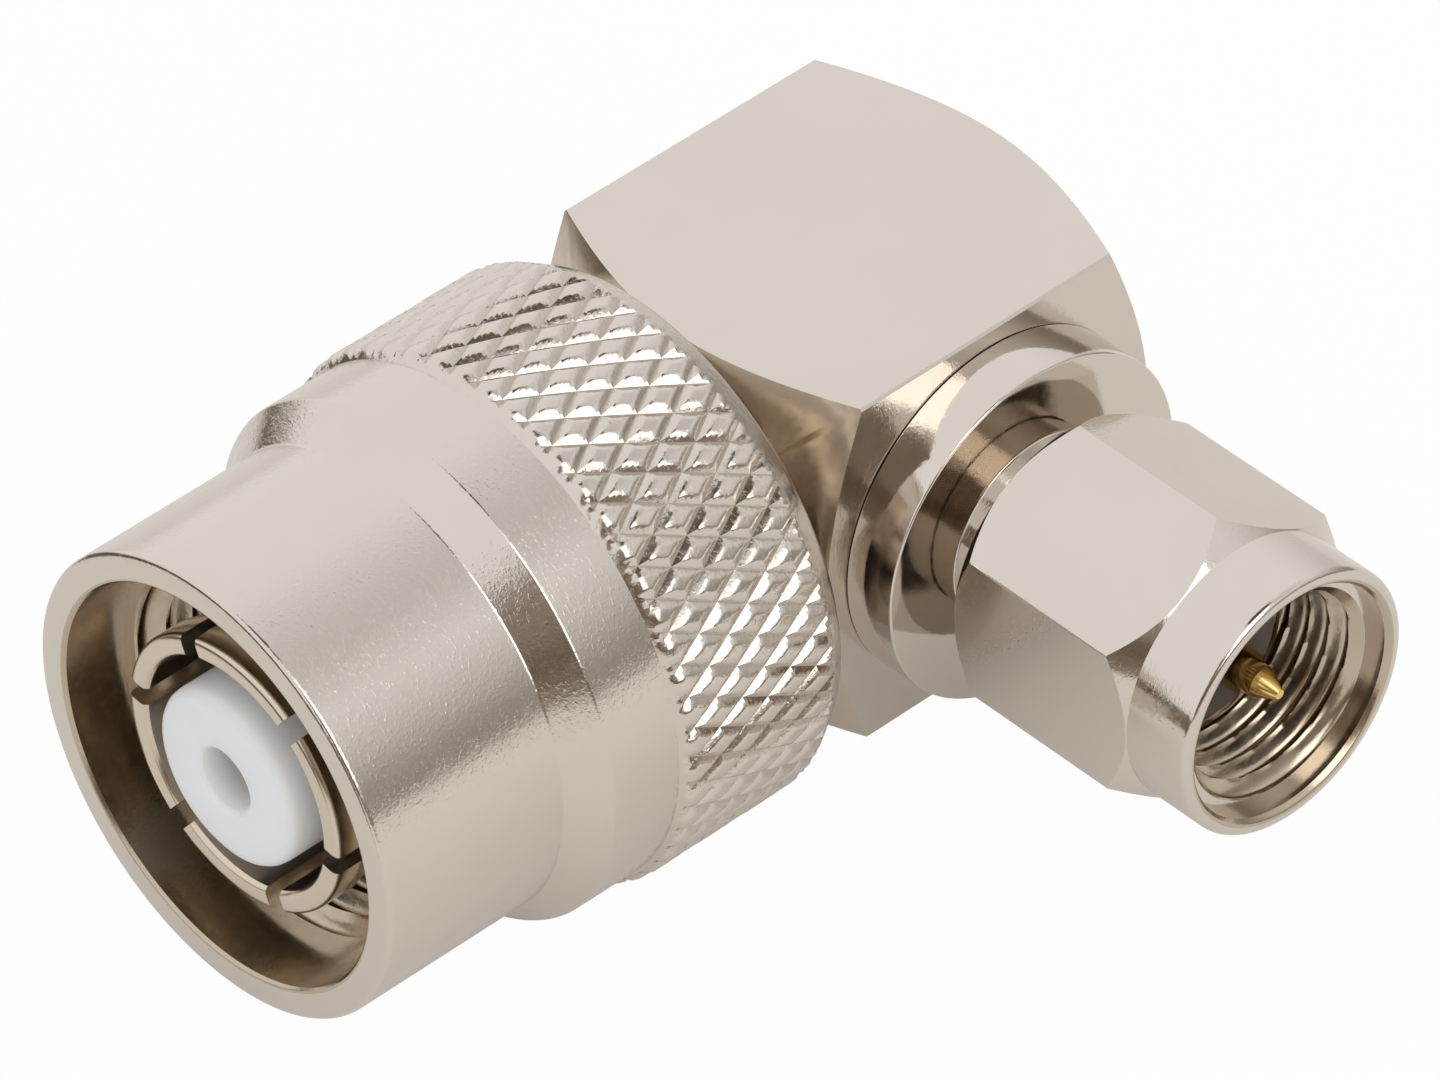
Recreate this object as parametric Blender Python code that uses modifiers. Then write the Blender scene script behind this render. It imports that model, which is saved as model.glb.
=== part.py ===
"""Right-angle coaxial adapter: a TNC plug and an SMA plug on one square body.

The origin is the middle of the body's underside, straight below the point where the two
connector axes cross. The TNC plug points along -Y, the SMA plug along +X, and +Z is up.
Sizes are written in millimetres, and MM turns them into Blender's metres.
"""

import math

import bmesh
import bpy
from mathutils import Matrix

MM = 0.001

# Clearances between pieces
PRESS_GAP = 0.05      # between a piece and the bore it is pressed into
RUNNING_GAP = 0.08    # between a coupling nut and the neck it turns on
RING_GAP = 0.05       # on each side of a snap ring in its groove
BLOCK_GAP = 0.10      # between the square body and the back of the TNC nut

# Square body, turned at both ends
BLOCK_WIDTH = 11.5
BLOCK_EDGE_LENGTH = 9.0
BLOCK_CHAMFER_DEG = 30.0
BLOCK_FACE_RIM = 0.05
CAVITY_DIAMETER = 6.6
BORE_WALL = 0.2
CAP_DIAMETER = 8.6
CAP_THICKNESS = 1.6
CAP_SINK = 0.15
CAP_CHAMFER = 0.2

# TNC coupling nut, outside, from its back to its mouth
NUT_BACK_DIAMETER = 14.6
NUT_BACK_LENGTH = 1.4
KNURL_DIAMETER = 16.0
KNURL_LENGTH = 6.1
KNURL_PITCH = 0.98
KNURL_HELIX_DEG = 30.0
KNURL_DEPTH = 0.26
BAND_DIAMETER = 15.4
BAND_LENGTH = 2.6
BAND_CHAMFER = 0.15
CONE_LENGTH = 1.3
BARREL_DIAMETER = 13.74
BARREL_LENGTH = 4.9
MOUTH_ROUND = 0.12

# TNC coupling nut, inside
TNC_MOUTH_DIAMETER = 11.9
TNC_MOUTH_DEPTH = 2.1
TNC_THREAD_DIAMETER = 11.112
TNC_THREAD_PITCH = 25.4 / 28
TNC_THREAD_LENGTH = 7.0
TNC_RELIEF_ROOM = 0.6
TNC_RING_SETBACK = 3.2

# TNC neck, on which the nut turns: its walls round the outer contact's tail
TNC_NECK_WALL = 1.2
TNC_NECK_LIP = 1.4
TNC_PILOT_WALL = 0.55
TNC_TAIL_WALL = 0.55

# Snap ring, float and gasket of the TNC nut
TNC_RING_THICKNESS = 0.6
TNC_RING_BITE = 0.5
TNC_FLOAT = 0.4
TNC_GASKET_THICKNESS = 1.2
TNC_GASKET_OVERHANG = 0.15

# TNC outer contact: six spring fingers
FINGER_DIAMETER = 8.24
FINGER_WALL = 0.66
FINGER_EDGE = 0.165
FINGER_BEAD_LENGTH = 1.1
FINGER_BEAD_HEIGHT = 0.12
FINGER_RECESS = 0.65
FINGER_LENGTH = 7.0
FINGER_COUNT = 6
FINGER_SLOT_WIDTH = 0.62
FINGER_SLOT_DEG = 52.0
CONTACT_TAIL_LENGTH = 4.4
CONTACT_TAIL_WALL = 0.49
CONTACT_BORE_STEP = 0.2

# TNC insulator and centre socket
TNC_INSULATOR_DIAMETER = 5.3
TNC_INSULATOR_LEAD = 0.3
TNC_INSULATOR_ROUND = 0.45
TNC_INSULATOR_LIP = 1.2
TNC_ENTRY_DIAMETER = 2.1
TNC_ENTRY_DEPTH = 0.1
TNC_PIN_HOLE_DIAMETER = 1.9
SOCKET_DIAMETER = 2.2
SOCKET_BORE_DIAMETER = 1.37
SOCKET_BORE_DEPTH = 5.0
SOCKET_SLOT_WIDTH = 0.25
SOCKET_SLOT_LENGTH = 3.6
SOCKET_TAIL = 1.0

# SMA flange, neck and outer contact, one turned ferrule
FLANGE_DIAMETER = 10.4
FLANGE_THICKNESS = 1.66
FLANGE_EDGE = 0.12
FERRULE_TAIL_DIAMETER = 5.8
FERRULE_TAIL_LENGTH = 2.9
SMA_NECK_DIAMETER = 5.8
SMA_NECK_VISIBLE = 1.15
SMA_NECK_LIP = 0.9
SMA_SLEEVE_DIAMETER = 4.56
SMA_SLEEVE_BORE = 4.12

# SMA coupling nut
HEX_ACROSS_FLATS = 8.0
HEX_BACK_CHAMFER = 0.6
HEX_EDGE_LENGTH = 5.1
HEX_FRONT_CHAMFER = 0.75
NOSE_LENGTH = 2.15
NOSE_STEP = 0.02
NOSE_EDGE = 0.08
SMA_MOUTH_DIAMETER = 7.0
SMA_MOUTH_DEPTH = 0.55
SMA_LIP = 0.16
SMA_THREAD_DIAMETER = 6.35
SMA_THREAD_PITCH = 25.4 / 36
SMA_THREAD_LENGTH = 4.4
SMA_RELIEF_DIAMETER = 6.6
SMA_RING_SETBACK = 0.8
SMA_FLOAT = 0.35
SMA_REFERENCE_RECESS = 2.8

# Snap ring and gasket of the SMA nut
SMA_RING_THICKNESS = 0.4
SMA_RING_BITE = 0.35
SMA_GASKET_THICKNESS = 0.6
SMA_GASKET_DIAMETER = 5.8

# SMA insulator and centre pin
SMA_INSULATOR_TAIL = 0.6
SMA_PIN_DIAMETER = 0.93
SMA_PIN_RECESS = 0.5
SMA_PIN_CONE = 0.68
SMA_PIN_TIP_DIAMETER = 0.28
SMA_PIN_SHANK_DIAMETER = 1.27
SMA_PIN_TAIL_DIAMETER = 0.9
SMA_PIN_TAIL_LENGTH = 0.6

# Opening of both snap rings: its width, and where it lies round the axis
RING_OPENING_DEG = 24.0
RING_OPENING_AT_DEG = 180.0

# How far a cutter reaches past what it cuts
CUT_PAST = 1.0

# A thread's bore stands here as a plain one, this share of the pitch inside the thread's roots
THREAD_BORE_SHARE = 0.3

# Facets round a turned piece
FACETS_BODY = 64
FACETS_LARGE = 48
FACETS_MEDIUM = 32
FACETS_SMALL = 20
ROUND_STEPS = 2

# Edges that bend less than this are shaded smooth
SMOOTH_UNDER_DEG = 25.0

# Points nearer than this, in metres, are one point
MERGE_DISTANCE = 1e-7

# The knurl's rows are found by their place to this share of a millimetre
ROW_KEYS_PER_MM = 1000

# Where each connector's own +Z axis points
TNC_TURN = (math.radians(90), 0, 0)
SMA_TURN = (0, math.radians(90), 0)

# Both axes run at this height over the underside
axis_height = BLOCK_WIDTH / 2

# Places along the TNC axis, measured from the middle of the body
block_corner_radius = BLOCK_WIDTH / 2 * math.sqrt(2)
block_face_radius = BLOCK_WIDTH / 2 - BLOCK_FACE_RIM
block_slope = math.tan(math.radians(BLOCK_CHAMFER_DEG))
block_half_length = BLOCK_EDGE_LENGTH / 2 + (block_corner_radius - block_face_radius) * block_slope

tnc_nut_back = block_half_length + BLOCK_GAP
knurl_back = tnc_nut_back + NUT_BACK_LENGTH
band_back = knurl_back + KNURL_LENGTH
cone_back = band_back + BAND_LENGTH
barrel_back = cone_back + CONE_LENGTH
tnc_mouth = barrel_back + BARREL_LENGTH
tnc_thread_front = tnc_mouth - TNC_MOUTH_DEPTH
tnc_thread_back = tnc_thread_front - TNC_THREAD_LENGTH

tnc_ring_back = tnc_nut_back + TNC_RING_SETBACK
tnc_ring_front = tnc_ring_back + TNC_RING_THICKNESS
tnc_groove_back = tnc_ring_back - RING_GAP
tnc_groove_front = tnc_ring_front + TNC_FLOAT + RING_GAP
tnc_neck_front = tnc_groove_front + TNC_NECK_LIP

# The nut's inner lip stops short of the gasket, also when the nut has slid forward by its float
tnc_relief_back = tnc_neck_front - TNC_FLOAT - RUNNING_GAP

# The neck's tail clears the side bore by a wall, with one press gap round each of the two pieces
tnc_neck_tail = FERRULE_TAIL_DIAMETER / 2 + PRESS_GAP * 2 + BORE_WALL
tnc_neck_shoulder = block_half_length + PRESS_GAP
tnc_gasket_front = tnc_neck_front + PRESS_GAP + TNC_GASKET_THICKNESS

finger_tip = tnc_mouth - FINGER_RECESS
finger_root = finger_tip - FINGER_LENGTH
contact_shoulder = tnc_gasket_front + PRESS_GAP
contact_tail = contact_shoulder - CONTACT_TAIL_LENGTH
tnc_insulator_front = finger_tip + TNC_INSULATOR_LEAD
socket_front = tnc_insulator_front - TNC_INSULATOR_LIP
cap_outer_face = block_half_length - CAP_SINK
cap_inner_face = cap_outer_face - CAP_THICKNESS

# Radii round the TNC axis, from the fingers outwards
finger_radius = FINGER_DIAMETER / 2
finger_bore = finger_radius - FINGER_WALL
contact_tail_bore = finger_bore - CONTACT_BORE_STEP
contact_tail_radius = contact_tail_bore + CONTACT_TAIL_WALL
tnc_neck_bore = contact_tail_radius + PRESS_GAP
tnc_pilot_radius = tnc_neck_bore + TNC_PILOT_WALL
tnc_tail_radius = tnc_neck_bore + TNC_TAIL_WALL
tnc_neck_radius = tnc_neck_bore + TNC_NECK_WALL
tnc_gasket_radius = tnc_neck_radius + TNC_GASKET_OVERHANG
tnc_relief_radius = tnc_gasket_radius + TNC_RELIEF_ROOM
tnc_insulator_radius = TNC_INSULATOR_DIAMETER / 2
tnc_insulator_base = contact_tail_bore - PRESS_GAP
socket_radius = SOCKET_DIAMETER / 2
tnc_ring_inner = tnc_neck_radius - TNC_RING_BITE
tnc_ring_outer = tnc_neck_radius + TNC_RING_BITE
tnc_thread_core = TNC_THREAD_DIAMETER / 2 - TNC_THREAD_PITCH * THREAD_BORE_SHARE

# Places along the SMA axis, measured from the middle of the body
flange_back = BLOCK_WIDTH / 2 + PRESS_GAP
flange_front = flange_back + FLANGE_THICKNESS
sma_nut_back = flange_front + SMA_NECK_VISIBLE
hex_back = sma_nut_back + HEX_BACK_CHAMFER
hex_front = hex_back + HEX_EDGE_LENGTH
nose_back = hex_front + HEX_FRONT_CHAMFER
sma_mouth = nose_back + NOSE_LENGTH
sma_thread_front = sma_mouth - SMA_MOUTH_DEPTH
sma_thread_back = sma_thread_front - SMA_THREAD_LENGTH
sma_reference = sma_mouth - SMA_REFERENCE_RECESS

sma_ring_back = sma_nut_back + SMA_RING_SETBACK
sma_ring_front = sma_ring_back + SMA_RING_THICKNESS
sma_groove_back = sma_ring_back - RING_GAP
sma_groove_front = sma_ring_front + SMA_FLOAT + RING_GAP
sma_neck_front = sma_groove_front + SMA_NECK_LIP
sma_relief_back = sma_neck_front - SMA_FLOAT - RUNNING_GAP
sma_gasket_front = sma_neck_front + PRESS_GAP + SMA_GASKET_THICKNESS
ferrule_tail = flange_back - FERRULE_TAIL_LENGTH
sma_pin_tip = sma_mouth - SMA_PIN_RECESS
sma_insulator_back = ferrule_tail - SMA_INSULATOR_TAIL

# Radii round the SMA axis
hex_corner_radius = HEX_ACROSS_FLATS / math.sqrt(3)
nose_radius = HEX_ACROSS_FLATS / 2 - NOSE_STEP
sma_neck_radius = SMA_NECK_DIAMETER / 2
sma_ring_inner = sma_neck_radius - SMA_RING_BITE
sma_ring_outer = sma_neck_radius + SMA_RING_BITE
sma_sleeve_radius = SMA_SLEEVE_DIAMETER / 2
sma_bore_radius = SMA_SLEEVE_BORE / 2
sma_thread_core = SMA_THREAD_DIAMETER / 2 - SMA_THREAD_PITCH * THREAD_BORE_SHARE
sma_pin_radius = SMA_PIN_DIAMETER / 2
sma_shank_radius = SMA_PIN_SHANK_DIAMETER / 2
sma_tail_radius = SMA_PIN_TAIL_DIAMETER / 2


def start_fresh():
    """Empty the scene and make the two collections."""
    for item in list(bpy.data.objects):
        bpy.data.objects.remove(item)
    parts = bpy.data.collections.new("coax_adapter")
    cutters = bpy.data.collections.new("cutters")
    bpy.context.scene.collection.children.link(parts)
    bpy.context.scene.collection.children.link(cutters)
    return parts, cutters


PARTS, CUTTERS = start_fresh()


def finish_material(name, colour, roughness, metallic):
    """One Principled material."""
    material = bpy.data.materials.new(name)
    material.use_nodes = True
    shader = material.node_tree.nodes["Principled BSDF"]
    shader.inputs["Base Color"].default_value = (*colour, 1)
    shader.inputs["Roughness"].default_value = roughness
    shader.inputs["Metallic"].default_value = metallic
    return material


def place(name, mesh, turn=(0, 0, 0), collection=PARTS):
    """Put a mesh into a collection as a named object, at the point where the axes cross."""
    item = bpy.data.objects.new(name, mesh)
    item.location = (0, 0, axis_height * MM)
    item.rotation_euler = turn
    collection.objects.link(item)
    return item


def as_cutter(item):
    """Show a cutter as wire and keep it out of renders."""
    item.hide_render = True
    item.display_type = "WIRE"
    return item


def turned(name, outline, facets, turn, closed=True, collection=PARTS):
    """Turn an outline of (place along the axis, radius) points with a Screw modifier.

    The outer side runs from the mouth to the back, and a hollow piece's inner side returns.
    """
    mesh = bpy.data.meshes.new(name)
    points = [(radius * MM, 0, along * MM) for along, radius in outline]
    edges = [(i, i + 1) for i in range(len(points) - 1)]
    if closed:
        edges.append((len(points) - 1, 0))
    mesh.from_pydata(points, edges, [])
    item = place(name, mesh, turn, collection)
    screw = item.modifiers.new("turn", "SCREW")
    screw.steps = facets
    screw.render_steps = facets
    screw.use_merge_vertices = True
    screw.merge_threshold = MERGE_DISTANCE
    screw.use_smooth_shade = True
    return item


def prism(name, sides, radius, length, turn, middle=0.0):
    """A bar cutter with a regular section, one corner on its own X axis."""
    form = bmesh.new()
    spot = Matrix.Translation((0, 0, middle * MM)) @ Matrix.Rotation(math.radians(90), 4, "Z")
    bmesh.ops.create_cone(form, cap_ends=True, segments=sides, radius1=radius * MM,
                          radius2=radius * MM, depth=length * MM, matrix=spot)
    mesh = bpy.data.meshes.new(name)
    form.to_mesh(mesh)
    form.free()
    return as_cutter(place(name, mesh, turn, CUTTERS))


def brick(name, size, centre, spin, turn):
    """A box cutter, spun round the connector's axis."""
    form = bmesh.new()
    bmesh.ops.create_cube(form, size=1)
    bmesh.ops.scale(form, vec=[side * MM for side in size], verts=form.verts)
    bmesh.ops.translate(form, vec=[part * MM for part in centre], verts=form.verts)
    bmesh.ops.rotate(form, matrix=Matrix.Rotation(math.radians(spin), 3, "Z"), verts=form.verts)
    mesh = bpy.data.meshes.new(name)
    form.to_mesh(mesh)
    form.free()
    return as_cutter(place(name, mesh, turn, CUTTERS))


def combine(item, tool, operation):
    """Boolean one object with another."""
    step = item.modifiers.new(tool.name, "BOOLEAN")
    step.object = tool
    step.operation = operation
    step.solver = "EXACT"


def settle(item):
    """Turn an object's modifiers into its mesh."""
    graph = bpy.context.evaluated_depsgraph_get()
    mesh = bpy.data.meshes.new_from_object(item.evaluated_get(graph))
    mesh.name = item.name
    item.modifiers.clear()
    item.data = mesh


def dress(item, material):
    """Give a piece its material, with smooth rounds and crisp edges."""
    settle(item)
    item.data.materials.clear()
    item.data.materials.append(material)
    item.data.shade_smooth()
    item.data.set_sharp_from_angle(angle=math.radians(SMOOTH_UNDER_DEG))
    return item


def rounded_corner(along, radius, size):
    """Points round an outer front corner, from the front face to the outer side."""
    points = []
    for step in range(ROUND_STEPS + 1):
        angle = math.radians(90) * step / ROUND_STEPS
        points.append((along - size + size * math.cos(angle), radius - size + size * math.sin(angle)))
    return points


def make_block(material):
    """The square body: a bar turned at both ends, with the cross bores and the cap recess."""
    form = bmesh.new()
    bmesh.ops.create_cube(form, size=BLOCK_WIDTH * MM)
    stretch = 2 * block_half_length / BLOCK_WIDTH
    bmesh.ops.scale(form, vec=(1, stretch, 1), verts=form.verts)
    mesh = bpy.data.meshes.new("body_block")
    form.to_mesh(mesh)
    form.free()
    block = place("body_block", mesh)

    clear = block_corner_radius - block_face_radius + CUT_PAST
    ends = [
        (block_half_length, block_face_radius),
        (block_half_length - clear * block_slope, block_face_radius + clear),
        (-block_half_length + clear * block_slope, block_face_radius + clear),
        (-block_half_length, block_face_radius),
    ]
    outline = [(ends[0][0], 0)] + ends + [(ends[-1][0], 0)]
    blank = as_cutter(turned("turned_ends", outline, FACETS_BODY, TNC_TURN, False, CUTTERS))
    combine(block, blank, "INTERSECT")

    hollow = [
        (block_half_length + CUT_PAST, 0),
        (block_half_length + CUT_PAST, tnc_tail_radius + PRESS_GAP),
        (tnc_neck_tail - PRESS_GAP, tnc_tail_radius + PRESS_GAP),
        (tnc_neck_tail - PRESS_GAP, CAVITY_DIAMETER / 2),
        (-cap_inner_face + PRESS_GAP, CAVITY_DIAMETER / 2),
        (-cap_inner_face + PRESS_GAP, CAP_DIAMETER / 2),
        (-block_half_length - CUT_PAST, CAP_DIAMETER / 2),
        (-block_half_length - CUT_PAST, 0),
    ]
    combine(block, as_cutter(turned("long_bore", hollow, FACETS_LARGE, TNC_TURN, False, CUTTERS)),
            "DIFFERENCE")
    side_length = BLOCK_WIDTH / 2 + CUT_PAST
    side = prism("side_bore", FACETS_MEDIUM, FERRULE_TAIL_DIAMETER / 2 + PRESS_GAP, side_length,
                 SMA_TURN, side_length / 2)
    combine(block, side, "DIFFERENCE")
    return dress(block, material)


def make_end_cap(material):
    """The disc pressed into the back of the body once the centre joint is soldered."""
    radius = CAP_DIAMETER / 2 - PRESS_GAP
    outline = [
        (-cap_inner_face, 0),
        (-cap_inner_face, radius - CAP_CHAMFER),
        (-cap_inner_face - CAP_CHAMFER, radius),
        (-cap_outer_face + CAP_CHAMFER, radius),
        (-cap_outer_face, radius - CAP_CHAMFER),
        (-cap_outer_face, 0),
    ]
    return dress(turned("end_cap", outline, FACETS_MEDIUM, TNC_TURN, False), material)


def make_tnc_neck(material):
    """The turned sleeve pressed into the body up to its shoulder.

    It has the snap ring's groove, and a pilot that holds the gasket.
    """
    groove = tnc_ring_inner - RING_GAP
    outline = [
        (tnc_gasket_front, tnc_pilot_radius),
        (tnc_neck_front, tnc_pilot_radius),
        (tnc_neck_front, tnc_neck_radius),
        (tnc_groove_front, tnc_neck_radius),
        (tnc_groove_front, groove),
        (tnc_groove_back, groove),
        (tnc_groove_back, tnc_neck_radius),
        (tnc_neck_shoulder, tnc_neck_radius),
        (tnc_neck_shoulder, tnc_tail_radius),
        (tnc_neck_tail, tnc_tail_radius),
        (tnc_neck_tail, tnc_neck_bore),
        (tnc_gasket_front, tnc_neck_bore),
    ]
    return dress(turned("tnc_neck_sleeve", outline, FACETS_MEDIUM, TNC_TURN), material)


def make_tnc_contact(material):
    """The outer contact: a sleeve slit into spring fingers, pressed into the neck sleeve."""
    bead_back = finger_tip - FINGER_BEAD_LENGTH
    shank = finger_radius - FINGER_BEAD_HEIGHT
    outline = [
        (finger_tip, finger_radius - FINGER_EDGE),
        (finger_tip - FINGER_EDGE, finger_radius),
        (bead_back, finger_radius),
        (bead_back - FINGER_BEAD_HEIGHT, shank),
        (contact_shoulder, shank),
        (contact_shoulder, contact_tail_radius),
        (contact_tail, contact_tail_radius),
        (contact_tail, contact_tail_bore),
        (finger_root - PRESS_GAP, contact_tail_bore),
        (finger_root, finger_bore),
        (finger_tip, finger_bore),
    ]
    contact = turned("tnc_outer_contact", outline, FACETS_LARGE, TNC_TURN)
    slot = FINGER_LENGTH + CUT_PAST
    for pair in range(FINGER_COUNT // 2):
        spin = FINGER_SLOT_DEG + pair * 360 / FINGER_COUNT
        size = (FINGER_DIAMETER + CUT_PAST, FINGER_SLOT_WIDTH, slot)
        middle = (0, 0, finger_root + slot / 2)
        combine(contact, brick(f"finger_slot_{pair + 1}", size, middle, spin, TNC_TURN), "DIFFERENCE")
    return dress(contact, material)


def make_tnc_insulator(material):
    """The white shroud round the centre socket, with a countersunk hole for the mating pin."""
    hole = TNC_PIN_HOLE_DIAMETER / 2
    bore = socket_radius + PRESS_GAP
    step = finger_root - PRESS_GAP * 2
    outline = rounded_corner(tnc_insulator_front, tnc_insulator_radius, TNC_INSULATOR_ROUND) + [
        (step, tnc_insulator_radius),
        (step, tnc_insulator_base),
        (contact_tail, tnc_insulator_base),
        (contact_tail, bore),
        (socket_front + PRESS_GAP, bore),
        (socket_front + PRESS_GAP, hole),
        (tnc_insulator_front - TNC_ENTRY_DEPTH, hole),
        (tnc_insulator_front, TNC_ENTRY_DIAMETER / 2),
    ]
    return dress(turned("tnc_insulator", outline, FACETS_MEDIUM, TNC_TURN), material)


def make_tnc_socket(material):
    """The gold centre socket: slit at the front, and drilled across for the other pin's tail."""
    bore = SOCKET_BORE_DIAMETER / 2
    floor = socket_front - SOCKET_BORE_DEPTH
    outline = [
        (floor, 0),
        (floor, bore),
        (socket_front, bore),
        (socket_front, socket_radius),
        (-SOCKET_TAIL, socket_radius),
        (-SOCKET_TAIL, 0),
    ]
    socket = turned("tnc_center_socket", outline, FACETS_SMALL, TNC_TURN, False)
    size = (SOCKET_DIAMETER + CUT_PAST, SOCKET_SLOT_WIDTH, SOCKET_SLOT_LENGTH + CUT_PAST)
    middle = (0, 0, socket_front - SOCKET_SLOT_LENGTH + size[2] / 2)
    combine(socket, brick("socket_slot", size, middle, 0, TNC_TURN), "DIFFERENCE")
    hole = prism("socket_cross_hole", FACETS_SMALL, sma_tail_radius + PRESS_GAP,
                 SOCKET_DIAMETER + CUT_PAST, SMA_TURN)
    combine(socket, hole, "DIFFERENCE")
    return dress(socket, material)


def make_gasket(name, back, front, inner, outer, facets, turn, material):
    """A flat sealing ring."""
    outline = [(front, inner), (front, outer), (back, outer), (back, inner)]
    return dress(turned(name, outline, facets, turn), material)


def make_snap_ring(name, back, front, inner, outer, facets, turn, material):
    """A flat ring with an opening, which ties a coupling nut to its neck."""
    outline = [(front, inner), (front, outer), (back, outer), (back, inner)]
    ring = turned(name, outline, facets, turn)
    width = 2 * outer * math.sin(math.radians(RING_OPENING_DEG / 2))
    size = (outer + CUT_PAST, width, front - back + CUT_PAST)
    middle = ((outer + CUT_PAST) / 2, 0, (front + back) / 2)
    opening = brick(name + "_opening", size, middle, RING_OPENING_AT_DEG, turn)
    combine(ring, opening, "DIFFERENCE")
    return dress(ring, material)


def knurl_layout():
    """Diamonds round the nut, and the places of the knurl's rows along the axis."""
    around = round(math.pi * KNURL_DIAMETER / KNURL_PITCH)
    half_arc = math.pi * KNURL_DIAMETER / around / 2
    row_step = half_arc / math.tan(math.radians(KNURL_HELIX_DEG))
    rows = max(2, math.floor(KNURL_LENGTH / row_step))
    margin = (KNURL_LENGTH - rows * row_step) / 2
    return around, [knurl_back + margin + row * row_step for row in range(rows, -1, -1)]


def press_knurl(item, around, places):
    """Lower every second vertex of the knurl's rows, so that the quads become small pyramids.

    Each quad is then split from low corner to low corner. The splits line up into two sets of
    straight helical grooves that cross at the lattice's low points.
    """
    form = bmesh.new()
    form.from_mesh(item.data)
    low = set()
    rows = {round(place * ROW_KEYS_PER_MM): index for index, place in enumerate(places)}
    step = math.pi / around
    for vertex in form.verts:
        radius = math.hypot(vertex.co.x, vertex.co.y) / MM
        row = rows.get(round(vertex.co.z / MM * ROW_KEYS_PER_MM))
        if row is None or abs(radius - KNURL_DIAMETER / 2) > KNURL_DEPTH / 2:
            continue
        column = round(math.atan2(vertex.co.y, vertex.co.x) / step)
        on_edge = row in (0, len(places) - 1)
        if (row + column) % 2 or on_edge:
            low.add(vertex)
    for vertex in low:
        shrink = 1 - KNURL_DEPTH / (KNURL_DIAMETER / 2)
        vertex.co.x *= shrink
        vertex.co.y *= shrink
    for face in list(form.faces):
        corners = list(face.verts)
        lows = [vertex for vertex in corners if vertex in low]
        if len(corners) != 4 or not 2 <= len(lows) <= 3:
            continue
        highs = [vertex for vertex in corners if vertex not in low]
        if len(lows) == 3:
            opposite = corners[(corners.index(highs[0]) + 2) % 4]
            ends = [vertex for vertex in lows if vertex is not opposite]
            bmesh.utils.face_split(face, ends[0], ends[1])
        elif corners.index(lows[1]) - corners.index(lows[0]) == 2:
            bmesh.utils.face_split(face, lows[0], lows[1])
    form.to_mesh(item.data)
    form.free()


def make_tnc_nut(material):
    """The knurled coupling nut."""
    around, places = knurl_layout()
    barrel = BARREL_DIAMETER / 2
    band = BAND_DIAMETER / 2
    crest = KNURL_DIAMETER / 2
    root = crest - KNURL_DEPTH
    mouth = TNC_MOUTH_DIAMETER / 2
    neck = tnc_neck_radius + RUNNING_GAP
    groove = tnc_ring_outer + RING_GAP
    groove_front = tnc_ring_front + RING_GAP
    outline = [
        (tnc_mouth, 0),
        (tnc_mouth, barrel - MOUTH_ROUND),
        (tnc_mouth - MOUTH_ROUND, barrel),
        (barrel_back, barrel),
        (cone_back, band),
        (band_back + BAND_CHAMFER, band),
        (band_back, root),
    ]
    outline += [(place, crest) for place in places]
    outline += [
        (knurl_back, root),
        (tnc_nut_back, NUT_BACK_DIAMETER / 2),
        (tnc_nut_back, 0),
    ]
    nut = turned("tnc_coupling_nut", outline, 2 * around, TNC_TURN, False)
    settle(nut)
    press_knurl(nut, around, places)

    hollow = [
        (tnc_mouth + CUT_PAST, 0),
        (tnc_mouth + CUT_PAST, mouth + MOUTH_ROUND + CUT_PAST),
        (tnc_mouth - MOUTH_ROUND, mouth),
        (tnc_thread_front, mouth),
        (tnc_thread_front, tnc_thread_core),
        (tnc_thread_back, tnc_thread_core),
        (tnc_thread_back, tnc_relief_radius),
        (tnc_relief_back, tnc_relief_radius),
        (tnc_relief_back, neck),
        (groove_front, neck),
        (groove_front, groove),
        (tnc_groove_back, groove),
        (tnc_groove_back, neck),
        (tnc_nut_back - CUT_PAST, neck),
        (tnc_nut_back - CUT_PAST, 0),
    ]
    combine(nut, as_cutter(turned("tnc_nut_bore", hollow, FACETS_LARGE, TNC_TURN, False, CUTTERS)),
            "DIFFERENCE")
    return dress(nut, material)


def make_sma_ferrule(material):
    """Flange, neck and outer contact sleeve, turned in one piece and pressed into the body."""
    flange = FLANGE_DIAMETER / 2
    groove = sma_ring_inner - RING_GAP
    outline = [
        (sma_reference, sma_bore_radius),
        (sma_reference, sma_sleeve_radius),
        (sma_neck_front, sma_sleeve_radius),
        (sma_neck_front, sma_neck_radius),
        (sma_groove_front, sma_neck_radius),
        (sma_groove_front, groove),
        (sma_groove_back, groove),
        (sma_groove_back, sma_neck_radius),
        (flange_front, sma_neck_radius),
        (flange_front, flange - FLANGE_EDGE),
        (flange_front - FLANGE_EDGE, flange),
        (flange_back + FLANGE_EDGE, flange),
        (flange_back, flange - FLANGE_EDGE),
        (flange_back, FERRULE_TAIL_DIAMETER / 2),
        (ferrule_tail, FERRULE_TAIL_DIAMETER / 2),
        (ferrule_tail, sma_bore_radius),
    ]
    return dress(turned("sma_flange_ferrule", outline, FACETS_LARGE, SMA_TURN), material)


def make_sma_insulator(material):
    """The white dielectric inside the ferrule."""
    outer = sma_bore_radius - PRESS_GAP
    inner = sma_shank_radius + PRESS_GAP
    outline = [
        (sma_reference, inner),
        (sma_reference, outer),
        (sma_insulator_back, outer),
        (sma_insulator_back, inner),
    ]
    return dress(turned("sma_insulator", outline, FACETS_MEDIUM, SMA_TURN), material)


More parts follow.
